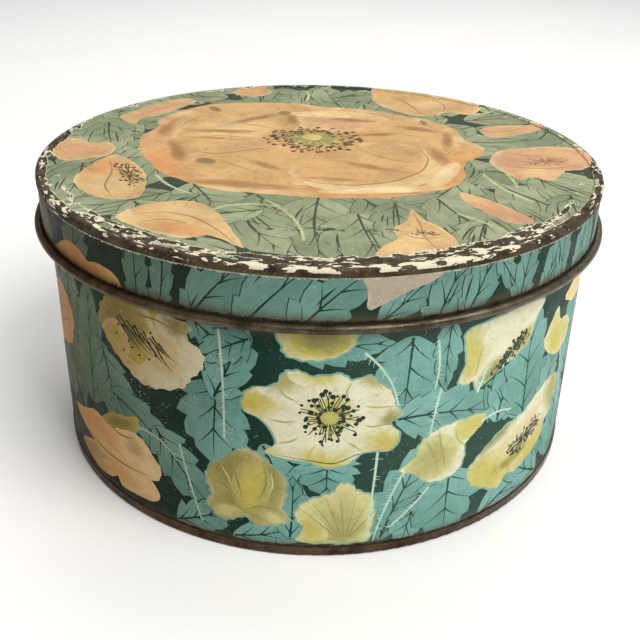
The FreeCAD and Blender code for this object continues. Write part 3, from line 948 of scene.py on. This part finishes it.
WALL_DENTS = [
    # degrees, height, width, height of dent, depth
    (-40, 45, 26, 20, -0.35), (24, 28, 30, 14, -0.3), (8, 74, 40, 16, 0.2), (62, 60, 22, 26, -0.4),
    (-72, 70, 20, 18, -0.3), (120, 40, 30, 22, -0.6), (-130, 62, 26, 20, -0.5), (170, 30, 24, 18, -0.3),
]
SEAM_MARGIN = 1.4       # the print stops this far from the seam
CREASE_HALF = 0.35      # half width of the crease over the wall's lock seam
CREASE_DEPTH = 0.12
LAP_HALF = 2.5          # half width of the skirt's lapped end
LAP_SLOPE = 0.3         # width of the slope at the lap's edges
LAP_LOW, LAP_HIGH = 101.3, 116.9


def faded(values, low, high):
    """Shares that rise from 0 at low to 1 at high, or fall where high is the lower."""
    return np.clip((values - low) / (high - low), 0, 1)


def off_seam(angles, radius):
    """Distance round the sheet from the seam at the back."""
    return np.abs(np.abs(angles) - math.pi) * radius


def wall_dent(angles, heights):
    """How far the side wall stands out from a true cylinder. Its foot and the top stay round."""
    dents = np.zeros(len(angles))
    for degrees, height, wide, tall, depth in WALL_DENTS:
        off = (angles - math.radians(degrees) + math.pi) % (2 * math.pi) - math.pi
        dents += depth * np.exp(-(off * WALL_R / wide) ** 2 - ((heights - height) / tall) ** 2)
    crease = faded(off_seam(angles, WALL_R), CREASE_HALF, 0) * faded(heights, 112, 109)
    return dents * faded(heights, 5, 13) * faded(heights, 98, 88) - CREASE_DEPTH * crease


def skirt_dent(angles, heights):
    """How far the skirt stands out, with its lapped end at the seam."""
    inside = np.clip((LAP_HALF - off_seam(angles, SKIRT_R)) / LAP_SLOPE, 0, 1)
    above = np.clip((heights - LAP_LOW) / LAP_SLOPE, 0, 1)
    below = np.clip((LAP_HIGH - heights) / LAP_SLOPE, 0, 1)
    return SHEET * inside * (above * below)


def strip_grid(radius, low, high, step):
    """Chart points of a cylinder, with a column at each turn, the seam's at both ends."""
    columns = np.linspace(-math.pi, math.pi, TURNS + 1) * radius
    rows = np.linspace(low, high, max(2, round((high - low) / step)) + 1)
    return [(x, y) for i, x in enumerate(columns) for k, y in enumerate(rows)
            if i in (0, TURNS) or k in (0, len(rows) - 1) or (i + k) % 2 == 0]


def curl(centre, radius, start, end, steps):
    """Points (radius, height) of a curled edge's circle, 0 degrees straight outward."""
    angles = np.radians(np.linspace(start, end, steps))
    return [(centre[0] + radius * math.cos(a), centre[1] + radius * math.sin(a)) for a in angles]


def rolled_sheet(name, radius, low, high, rest, shapes, dent, materials, step):
    """A rolled sheet: a printed cylinder from low to high, and the rest of its outline as bare tin.

    rest runs from the cylinder's upper edge round the inside of the sheet to its lower edge.
    """
    sheet = Sheet()
    middle = (high + low) / 2

    def fit(outline):
        x = squeezed(outline[:, 0], math.pi * radius - SEAM_MARGIN)
        y = middle + squeezed(outline[:, 1] - middle, (high - low) / 2 - 2 * EDGE_ROOM)
        return np.stack([x, y], axis=1)

    def wrap(chart):
        return around(chart[:, 0] / radius, np.full(len(chart), radius), chart[:, 1], dent)

    sheet.add_print(shapes, strip_grid(radius, low, high, step), [], fit, wrap, GROUND)
    outline = [(radius, high)] + rest + [(radius, low)]
    sheet.add_rows([[sheet.vertex(p) for p in ring_points(r, z, dent)] for r, z in outline])
    return sheet.build(name, materials)


def wall_piece(materials):
    inner = WALL_R - SHEET
    centre = (inner + MOUTH_CURL, MOUTH_CURL_Z)
    rest = curl(centre, MOUTH_CURL - SHEET, 180, -100, 9)[1:] + curl(centre, MOUTH_CURL, -100, 180, 13)
    rest += [(inner, z) for z in np.linspace(MOUTH_CURL_Z, WALL_LOW.z, 16)[1:]]
    return rolled_sheet("wall_sheet", WALL_R, WALL_LOW.z, MOUTH_CURL_Z, rest, side_print(),
                        wall_dent, materials, 2.4)


LOCK_HALF = 2.25        # half width of the folded lock seam inside the wall
LOCK_THICK = 0.75
LOCK_LOW, LOCK_HIGH = 2.6, 116.6


def lock_seam(material):
    """The flattened fold inside the wall, where the rolled sheet's two ends hook together."""
    outer = WALL_R - SHEET + 0.02
    turn = LOCK_HALF / outer
    ring = [(a, outer) for a in np.linspace(-turn, turn, 9)]
    ring += [(a, outer - LOCK_THICK) for a in np.linspace(turn, -turn, 9) * 0.96]
    points = [(math.sin(a) * r, math.cos(a) * r, z) for z in (LOCK_LOW, LOCK_HIGH) for a, r in ring]
    count = len(ring)
    faces = [[i, (i + 1) % count, count + (i + 1) % count, count + i] for i in range(count)]
    faces += [list(range(count))[::-1], list(range(count, 2 * count))]
    mesh = new_mesh("wall_lock_seam", points, faces, [material])
    face_outward(mesh)
    return add_object("wall_lock_seam", mesh)


def skirt_piece(materials):
    inner = SKIRT_R - SHEET
    centre = (inner + SKIRT_CURL, SKIRT_CURL_Z)
    rest = [(inner, z) for z in np.linspace(SKIRT_HIGH.z, SKIRT_CURL_Z, 5)]
    rest += curl(centre, SKIRT_CURL, 180, 498, 26)[1:]
    rest += curl(centre, SKIRT_CURL - SHEET, 138, -180, 18)[:-1]
    return rolled_sheet("skirt_sheet", SKIRT_R, SKIRT_CURL_Z, SKIRT_HIGH.z, rest, skirt_print(),
                        skirt_dent, materials, 1.6)


PANEL_DROP = 0.8        # how far the lid's panel lies below its crest
CREST_INNER_R = LID_R - 3.55
PANEL_R = CREST_INNER_R - 0.4
LID_GRID = 3.2          # between the chart points on the lid's panel
LID_DENTS = [
    # x, y, reach, depth
    (-40, -60, 34, -0.35), (50, 30, 40, 0.3), (10, -85, 22, 0.2), (-70, 40, 30, 0.25),
    (30, -20, 46, -0.3),
]


def bent_profile(corners, steps=7):
    """Points along a line through corners, each (radius, height, bend radius)."""
    places = [np.array(c[:2], float) for c in corners]
    points = [places[0]]
    for before, corner, after, (_, _, bend) in zip(places, places[1:], places[2:], corners[1:]):
        arriving, leaving = corner - before, after - corner
        arriving /= np.hypot(*arriving)
        leaving /= np.hypot(*leaving)
        reach = bend * math.tan(math.acos(float(arriving @ leaving)) / 2)
        start, end = corner - arriving * reach, corner + leaving * reach
        for share in np.linspace(0, 1, steps):
            points.append(start * (1 - share) ** 2 + corner * 2 * share * (1 - share) + end * share ** 2)
    return np.array(points + [places[-1]])


def lid_profile():
    """The lid's printed face, from its centre out over the crest and down the folded rim."""
    top = LID_HIGH.z
    return bent_profile([
        (0, top - PANEL_DROP, 0), (PANEL_R, top - PANEL_DROP, 0.5), (CREST_INNER_R, top, 0.8),
        (LID_R, top, 1.2), (LID_R, LID_LOW.z, 0)])


def lid_dent(points):
    """How far the lid's panel stands up from flat, for points in millimetres."""
    total = np.zeros(len(points))
    for x, y, reach, depth in LID_DENTS:
        total += depth * np.exp(-((points[:, 0] - x) ** 2 + (points[:, 1] - y) ** 2) / reach ** 2)
    return total * np.clip((PANEL_R - 2 - lengths(points)) / 14, 0, 1)


def lid_piece(materials):
    sheet = Sheet()
    profile = lid_profile()
    along = np.concatenate([[0], np.cumsum(lengths(np.diff(profile, axis=0)))])

    def fit(outline):
        radius = np.maximum(lengths(outline), 1e-6)
        return outline * (squeezed(radius, along[-1] - 2 * EDGE_ROOM) / radius)[:, None]

    def wrap(chart):
        rho = lengths(chart)
        radius = np.interp(rho, along, profile[:, 0])
        height = np.interp(rho, along, profile[:, 1])
        flat = chart * (radius / np.maximum(rho, 1e-9))[:, None]
        return np.stack([flat[:, 0], flat[:, 1], height + lid_dent(flat)], axis=1)

    def full_turn(radius, height):
        ring = ring_points(radius, height)
        ring[:, 2] += lid_dent(ring)
        return [sheet.vertex(p) for p in ring]

    grid, edges = [], []
    for rho in along[1:]:
        first = len(grid)
        grid += [(math.sin(a) * rho, -math.cos(a) * rho) for a in ANGLES]
        edges += [(first + i, first + (i + 1) % TURNS) for i in range(TURNS)]
    steps = int(PANEL_R / LID_GRID)
    for i in range(-steps, steps + 1):
        for k in range(-steps, steps + 1):
            spot = ((i + 0.5 * (k % 2)) * LID_GRID, k * LID_GRID * 0.87)
            if math.hypot(*spot) < PANEL_R - 1.5:
                grid.append(spot)
    sheet.add_print(lid_print(), grid, edges, fit, wrap, LID_GROUND)

    slopes = np.gradient(profile, axis=0)
    slopes /= lengths(slopes)[:, None]
    under = profile - SHEET * np.stack([-slopes[:, 1], slopes[:, 0]], axis=1)
    inward = [profile[-1], *under[:0:-1]] + [(r, under[0][1]) for r in np.linspace(PANEL_R - 2, 3, 7)]
    rows = [full_turn(*spot) for spot in inward]
    sheet.add_rows(rows)
    hub = sheet.vertex((0, 0, under[0][1]))
    for i, corner in enumerate(rows[-1]):
        sheet.add([corner, rows[-1][(i + 1) % TURNS], hub], len(KINDS))
    return sheet.build("lid_sheet", materials)


# Materials

class Value:
    """What a node gives. Plus, minus and times put it through further nodes."""

    def __init__(self, graph, socket):
        self.graph = graph
        self.socket = socket

    def __add__(self, other):
        return self.graph.maths("ADD", self, other)

    def __sub__(self, other):
        return self.graph.maths("SUBTRACT", self, other)

    def __rsub__(self, other):
        return self.graph.maths("SUBTRACT", other, self)

    def __mul__(self, other):
        return self.graph.maths("MULTIPLY", self, other)

    def __abs__(self):
        return self.graph.maths("ABSOLUTE", self)

    def ramp(self, low, high, to_low=0.0, to_high=1.0, kind="SMOOTHSTEP"):
        """A number from to_low, where the value is low, to to_high, where it is high."""
        inputs = {0: self, 1: low, 2: high, 3: to_low, 4: to_high}
        return self.graph.value("MapRange", inputs, interpolation_type=kind)


def most(*values):
    """The greatest of several values."""
    top, *others = values
    for other in others:
        top = top.graph.maths("MAXIMUM", top, other)
    return top


class Graph:
    """Short calls that build a material from nodes. Lengths in it are millimetres."""

    def __init__(self, name):
        self.material = bpy.data.materials.new(name)
        self.material.use_nodes = True
        self.tree = self.material.node_tree
        self.tree.nodes.clear()
        inputs = {0: self.value("TexCoord", {}, "Object"), "Scale": 1 / MM}
        self.spot = self.value("VectorMath", inputs, operation="SCALE")
        self.x, self.y, self.z = self.split(self.spot)

    def node(self, kind, inputs, **settings):
        node = self.tree.nodes.new("ShaderNode" + kind)
        for key, value in settings.items():
            setattr(node, key, value)
        for key, value in inputs.items():
            socket = node.inputs[key]
            if isinstance(value, Value):
                self.tree.links.new(value.socket, socket)
            else:
                socket.default_value = (*value, 1) if socket.type == "RGBA" else value
        return node

    def value(self, kind, inputs, output=0, **settings):
        return Value(self, self.node(kind, inputs, **settings).outputs[output])

    def maths(self, operation, *values, clamp=False):
        return self.value("Math", dict(enumerate(values)), operation=operation, use_clamp=clamp)

    def noise(self, size, detail=3.0, rough=0.55, vector=None, offset=None):
        """Noise about 0.5 with features about size millimetres wide."""
        where = vector or self.spot
        if offset is not None:
            where = self.value("VectorMath", {0: where, 1: offset}, operation="ADD")
        inputs = {"Vector": where, "Scale": 1 / size, "Detail": detail, "Roughness": rough}
        return self.value("TexNoise", inputs)

    def mix(self, share, first, second, blend="MIX"):
        return self.value("Mix", {0: share, 6: first, 7: second}, 2, data_type="RGBA", blend_type=blend)

    def shaded(self, colour, value):
        """A colour made darker or lighter by a value near 1."""
        grey = self.value("CombineColor", {0: value, 1: value, 2: value})
        return self.mix(1.0, colour, grey, "MULTIPLY")

    def split(self, vector):
        return [Value(self, part) for part in self.node("SeparateXYZ", {0: vector}).outputs]

    def join(self, x, y, z):
        return self.value("CombineXYZ", {0: x, 1: y, 2: z})

    def attribute(self, name, output="Color"):
        return self.value("Attribute", {}, output, attribute_name=name, attribute_type="GEOMETRY")

    def stretched(self, angles, scale):
        """The place turned by angles in degrees and scaled, for marks that run one way."""
        turn = tuple(math.radians(a) for a in angles)
        return self.value("Mapping", {0: self.spot, "Rotation": turn, "Scale": scale})

    def finish(self, colour, roughness, metallic, height, depth):
        """The shader and output; depth is the bump's full height in millimetres."""
        bump = self.value("Bump", {"Strength": 1.0, "Distance": depth * MM, "Height": height})
        inputs = {"Base Color": colour, "Roughness": roughness, "Metallic": metallic, "Normal": bump,
                  "Specular IOR Level": SPECULAR}
        self.node("OutputMaterial", {0: self.value("BsdfPrincipled", inputs)})
        return self.material


SPECULAR = 0.08         # the old varnish and the dulled tin hardly shine
WHITE = rgb(255, 255, 255)


def flat_ink(g):
    return g.shaded(g.attribute("ink"), g.noise(9).ramp(0.3, 0.7, 0.9, 1.1))


def leaf_ink(g):
    """Two inks from root to tip, one half of the leaf a little lighter, with a fine grain."""
    along, across, seed = g.split(g.attribute("place", "Vector"))
    share = (along + g.noise(11) * 0.9).ramp(0.55, 1.35)
    colour = g.mix(share, g.attribute("ink"), g.attribute("tip"))
    grain = g.noise(0.3, 3, 0.6, g.join(along * 1.6, across * 2.6, seed))
    colour = g.shaded(colour, across.ramp(-0.2, 0.2, 0.96, 1.04))
    colour = g.shaded(colour, grain.ramp(0.52, 0.66, 1.0, 0.84))
    return g.shaded(colour, g.noise(2.6, 4).ramp(0.3, 0.7, 0.94, 1.06))


def petal_ink(g):
    """Two inks from the flower's eye to its rim, in streaks, with clouds and a pale rim."""
    along, east, north = g.split(g.attribute("place", "Vector"))
    streak_at = g.join(east * 2.2, north * 2.2, along)
    streak = g.noise(0.8, 4, 0.6, streak_at)
    wash = g.noise(10, offset=(40, 9, 3))
    reach = along + (streak - 0.5) * 0.8 + (wash - 0.5) * 0.7
    colour = g.mix(reach.ramp(0.2, 0.95), g.attribute("ink"), g.attribute("tip"))
    cloud = g.noise(7, 4, 0.6, offset=(2, 7, 31)).ramp(0.4, 0.68, 0.0, 0.22)
    colour = g.mix(cloud, colour, rgb(214, 178, 128), "MULTIPLY")
    fine = g.noise(0.14, 2, 0.5, streak_at).ramp(0.54, 0.72, 0.0, 0.35)
    colour = g.mix(fine, colour, rgb(176, 146, 96), "MULTIPLY")
    rim = along.ramp(0.86, 0.97) * wash.ramp(0.35, 0.65, 0.0, 0.35)
    return g.mix(rim, colour, rgb(228, 212, 176))


INKS = {"flat": flat_ink, "leaf": leaf_ink, "petal": petal_ink}

# Wear gives the shares of base coat and of bare tin that show, and of darkening: dirt, and on the side
# also painted shadow


def scratches(g, angles, size, low, high):
    """Fine lines that run one way, broken up."""
    lines = g.noise(size, 2, 0.5, g.stretched(angles, (1.0, 0.035, 1.0)))
    return lines.ramp(low, high) * g.noise(16, 2, offset=angles).ramp(0.5, 0.62)


def specks(g, size):
    return g.noise(size, 3, 0.7, offset=(5, 5, 5)).ramp(0.72, 0.75) * 0.5


def lid_wear(g):
    """The lid's edge is worn most at the front left, where it was gripped; there a pale line along the
    flange's lower edge is also a painted highlight.
    """
    radius = g.maths("SQRT", g.x * g.x + g.y * g.y)
    gripped = (g.x * -0.36 + g.y * -0.93).ramp(-70, 90)
    away = g.maths("ARCTAN2", g.x, g.y * -1.0)
    along_rim = g.join(away * (0.45 * LID_R), radius, g.z)
    patch = g.noise(7, 3, 0.6, along_rim) - 0.5
    chips = g.noise(2.6, 3, 0.55, along_rim, (4, 4, 4)) - 0.5
    wear = radius.ramp(99, 107, kind="LINEAR") + radius.ramp(108.2, 109.6, 0.0, -0.08)
    wear = wear + radius.ramp(111.2, 112.8, 0.0, 0.34) + patch + chips * 0.8
    wear = wear + gripped.ramp(0, 1, -0.42, 0.02, "LINEAR")
    wear = wear + g.x.ramp(-50, 20, 0.0, 0.16) * gripped.ramp(0.6, 0.8) + g.x.ramp(-100, -50, -0.13, 0.0)
    flecks = g.noise(3.0, 3, 0.6, along_rim, (8, 1, 6)).ramp(0.58, 0.59)
    bare = wear.ramp(0.96, 0.97) * (1.0 - flecks * radius.ramp(114.6, 114.9, 1.0, 0.0))
    edge = g.z + chips * 0.9 + gripped.ramp(0.3, 0.6, -1.5, 0.0) + g.x.ramp(0, 70, 0.0, -1.3)
    corner = radius.ramp(115.0, 115.2) * (chips * 1.2 + gripped).ramp(0.02, 0.06)
    corner = corner * edge.ramp(117.6, 117.7)
    # lip: base coat along the flange's lower edge at the front left, worn paint that also stands in as a
    # painted highlight of the light-catching cut edge
    lip = edge.ramp(117.7, 117.6) * gripped.ramp(0.3, 0.6, 0.0, 0.8) * radius.ramp(114.9, 115.1)
    nicks = g.noise(3.2, 4, 0.75, g.stretched((0, 0, 8), (0.6, 1.0, 1.0)))
    nicks = nicks + abs(g.y + 82).ramp(0, 6, 0.0, -0.3)
    nicks = nicks.ramp(0.52, 0.53) * abs(g.x - 4).ramp(30, 20)
    chipped = g.noise(3.4, 3, 0.6, along_rim, (2, 9, 3)) + g.x.ramp(-70, 30, -0.08, -0.01)
    chipped = chipped + gripped.ramp(0.62, 0.9, -0.25, 0.0)
    crest = radius.ramp(112.3, 112.9) * (g.z + chips).ramp(118.5, 118.7) * chipped.ramp(0.5, 0.52)
    bare = most(most(bare, corner) * (1.0 - crest), nicks * 0.9)
    scuffs = g.noise(1.1, 4, 0.7, offset=(7, 3, 1)).ramp(0.64, 0.66) * radius.ramp(50, 112, 0.05, 0.6)
    coat = most(wear.ramp(0.9, 0.91), lip, scuffs, crest)
    return coat, bare, g.noise(14, 4).ramp(0.35, 0.7) * 0.25


def uneven(g, fine_share):
    """Broad unevenness, and the same with a share of finer unevenness, in millimetres."""
    broad = g.noise(4, 4, 0.6) - 0.5
    return broad, broad * 1.6 + (g.noise(1.0, 4, 0.65) - 0.5) * fine_share


def skirt_wear(g):
    """Worn at the upper edge and at the bead, with dirt above the bead."""
    broad, jitter = uneven(g, 2.0)
    height = g.z + jitter
    lines = scratches(g, (70, 20, 0), 0.8, 0.66, 0.7)
    coat = most(height.ramp(116.35, 116.45, 0.0, 0.7), specks(g, 0.9), lines * 0.5)
    bare = height.ramp(101.2, 101.8, 1.0, 0.0)
    return coat, bare, (g.z + broad * 4.0).ramp(101.0, 105.5, 0.7, 0.12)


def wall_wear(g):
    """Worn at the foot, darker just above it, and with a painted shadow in a band under the lid."""
    broad, jitter = uneven(g, 1.6)
    bare = (g.z + jitter).ramp(5.0, 5.4, 1.0, 0.0)
    lines = most(scratches(g, (60, 30, 0), 0.8, 0.66, 0.7), scratches(g, (-50, 80, 0), 0.9, 0.67, 0.71))
    # painted shadow: a darker band on the wall just under the lid's rim, where the lid shades it
    shade_height = g.z + broad * 5.0
    shadow = shade_height.ramp(91, 98, 0.02, 0.55) * shade_height.ramp(99, 103, 1.0, 0.3)
    foot = (g.z + broad * 4.0).ramp(4.5, 9, 0.5, 0.0)
    return most(specks(g, 0.8), lines * 0.5), bare, most(shadow, foot)


WEAR = {"lid": lid_wear, "skirt": skirt_wear, "wall": wall_wear}


def tin_colour(g):
    """Aged bare tinplate: brown-grey, with darker stains and some rust."""
    tone = g.mix(g.noise(6, 4).ramp(0.35, 0.68), rgb(84, 76, 60), rgb(50, 42, 32))
    rust = g.noise(3, 4, 0.65, offset=(3, 8, 2)).ramp(0.56, 0.7, 0.0, 0.55)
    tone = g.mix(rust, tone, rgb(104, 62, 42))
    worn = g.noise(1.2, 3, 0.6, offset=(1, 2, 9)).ramp(0.6, 0.68, 0.0, 0.5)
    return g.mix(worn, tone, rgb(140, 128, 116))


def printed(zone, kind):
    """The print's ink under varnish, worn through to the base coat and to bare tin, with painted shade
    towards the left and, on the side, a painted sheen towards the right.
    """
    g = Graph(f"{zone}_{kind}_print")
    ink = g.shaded(INKS[kind](g), g.noise(0.5, 2).ramp(0.3, 0.7, 0.94, 1.06))
    coat, bare, grime_and_shade = WEAR[zone](g)
    # darkens the ink with dirt, and on the side with painted shadow under the lid and a darker band
    # above the foot
    ink = g.mix(grime_and_shade, ink, rgb(88, 78, 58))
    if zone != "lid":
        # painted shade: the side and the skirt darker and warmer towards the left, for the dim warm
        # light on that side
        painted_left_shade = g.mix(g.x.ramp(-102, -4, kind="LINEAR"), rgb(168, 130, 70), WHITE)
        ink = g.mix(1.0, ink, painted_left_shade, "MULTIPLY")
    if zone == "wall":
        # painted sheen: a pale haze over the right of the side wall
        painted_sheen = g.x.ramp(-30, 40, 0.0, 0.055) * g.x.ramp(105, 60)
        ink = g.mix(painted_sheen, ink, rgb(176, 216, 198))
    colour = g.mix(bare, g.mix(coat, ink, BASE_COAT), tin_colour(g))
    rough = g.maths("ADD", g.noise(7, 4).ramp(0.3, 0.7, 0.4, 0.56), coat * 0.2, clamp=True)
    height = 1.0 - coat * 0.35 - bare * 0.6 + g.noise(3.5) * 0.5
    return g.finish(colour, rough, bare * 0.55, height, 0.07)


def aged_tin(name, tone, deep, rust_share):
    """Unprinted tinplate, dulled and stained, with painted shade towards the left and painted light
    towards the right.
    """
    g = Graph(name)
    colour = g.mix(g.noise(9, 5, 0.6).ramp(0.32, 0.68), tone, deep)
    rust = g.noise(2.2, 4, 0.7, offset=(3, 8, 2)).ramp(0.58, 0.7, 0.0, rust_share)
    colour = g.mix(rust, colour, rgb(112, 68, 44))
    fine = g.noise(0.7, 3, 0.6, g.stretched((0, 0, 0), (1.0, 1.0, 3.0)))
    colour = g.mix(fine.ramp(0.58, 0.7, 0.0, 0.45), colour, rgb(168, 156, 140))
    # painted shade: darker and warmer towards the left, for the dim warm light on that side
    painted_left_shade_on_tin = g.mix(g.x.ramp(-115, -10, kind="LINEAR"), rgb(255, 206, 150), WHITE)
    colour = g.mix(1.0, colour, painted_left_shade_on_tin, "MULTIPLY")
    # painted light: the tin paler towards the right, where the key light falls
    colour = g.mix(g.x.ramp(30, 115, 0.0, 0.3), colour, rgb(160, 150, 134))
    rough = g.noise(4, 4).ramp(0.3, 0.7, 0.34, 0.55)
    height = g.noise(1.4, 4, 0.6) + g.noise(6) * 1.2
    return g.finish(colour, rough, rust.ramp(0.0, 0.5, 0.85, 0.2), height, 0.05)


def solder(name):
    g = Graph(name)
    colour = g.mix(g.noise(2, 4).ramp(0.35, 0.65), rgb(142, 142, 138), rgb(98, 96, 92))
    return g.finish(colour, g.noise(3).ramp(0.3, 0.7, 0.4, 0.62), 0.8, g.noise(1.8), 0.12)


def floor_material():
    g = Graph("pale_floor")
    colour = g.mix(g.noise(400, 2).ramp(0.3, 0.7), rgb(246, 246, 245), rgb(243, 243, 243))
    return g.finish(colour, 0.8, 0.0, g.noise(80, 2), 0.01)


# The scene

def paint(node, material):
    """Gives a CAD node a better material."""
    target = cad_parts[node]
    for slot in target.material_slots:
        slot.material = material
    if not target.material_slots:
        target.data.materials.append(material)


def dress(piece, body, node):
    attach(piece, body)
    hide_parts(node)


def build_tin():
    inside = aged_tin("inside_tin", rgb(176, 162, 134), rgb(132, 116, 92), 0.5)
    bead = aged_tin("bead_tin", rgb(96, 90, 74), rgb(56, 50, 38), 0.2)
    foot = aged_tin("foot_tin", rgb(86, 70, 54), rgb(44, 32, 24), 0.5)
    inks = {zone: [printed(zone, kind) for kind in KINDS] for zone in WEAR}
    dress(wall_piece(inks["wall"] + [inside]), "tin", "body_wall")
    dress(lock_seam(inside), "tin", "body_wall")
    dress(skirt_piece(inks["skirt"] + [bead]), "lid", "lid_skirt")
    dress(lid_piece(inks["lid"] + [inside]), "lid", "lid_panel")
    lead = solder("solder")
    for node in ("base_solder", "wall_seam_solder", "lid_solder", "skirt_seam_solder"):
        paint(node, lead)
    paint("base_plate", foot)
    paint("lid_rim_wire", aged_tin("drawn_wire", rgb(150, 146, 140), rgb(112, 106, 98), 0.3))


FLOOR_HALF = 4000       # half width of the floor
TIN_MIDDLE = Vector((0, 0, 0.06))


def add_light(name, azimuth, elevation, distance, size, power, colour):
    """A square soft light aimed at the tin's middle; azimuth 0 is the camera's side, 90 its right."""
    lamp = bpy.data.lights.new(name, "AREA")
    lamp.shape = "SQUARE"
    lamp.size = size
    lamp.energy = power
    lamp.color = colour
    turn, lift = math.radians(azimuth), math.radians(elevation)
    away = Vector((math.sin(turn) * math.cos(lift), -math.cos(turn) * math.cos(lift), math.sin(lift)))
    holder = add_object(name, lamp)
    holder.location = away * distance + TIN_MIDDLE
    holder.rotation_euler = away.to_track_quat("Z", "Y").to_euler()


def add_surroundings():
    corners = [(x * FLOOR_HALF, y * FLOOR_HALF, 0) for x, y in ((-1, -1), (1, -1), (1, 1), (-1, 1))]
    add_object("floor", new_mesh("floor", corners, [(0, 1, 2, 3)], [floor_material()]))
    add_light("key", 46, 52, 1.5, 0.9, 23, (1.0, 0.98, 0.95))
    add_light("back", 176, 56, 1.6, 1.4, 14, (1.0, 0.99, 0.97))
    add_light("left", -70, 40, 1.8, 0.9, 2, (1.0, 0.84, 0.62))
    world = bpy.data.worlds.new("studio")
    world.use_nodes = True
    colour, strength = world.node_tree.nodes["Background"].inputs[:2]
    colour.default_value = (1.0, 1.0, 1.0, 1)
    strength.default_value = 0.26
    bpy.context.scene.world = world


def add_camera():
    """The camera, at the height and distance of someone leaning over a table."""
    tilt, roll = math.radians(28.4), math.radians(1.35)
    distance, focal = 0.4203, 50.85
    target = Vector((0.0015, 0.0, 0.0395))
    forward = Vector((0, math.cos(tilt), -math.sin(tilt)))
    up = Vector((0, math.sin(tilt), math.cos(tilt)))
    right = Vector((1, 0, 0))
    across = right * math.cos(roll) + up * math.sin(roll)
    upward = up * math.cos(roll) - right * math.sin(roll)
    camera = add_object("camera", bpy.data.cameras.new("camera"))
    camera.data.lens = focal
    camera.data.sensor_width = 36
    camera.data.clip_start = 0.01
    turn = Matrix((across, upward, -forward)).transposed()
    camera.matrix_world = Matrix.Translation(target - forward * distance) @ turn.to_4x4()
    bpy.context.scene.camera = camera


add_camera()
add_surroundings()
build_tin()
bpy.context.scene.view_settings.view_transform = "Standard"
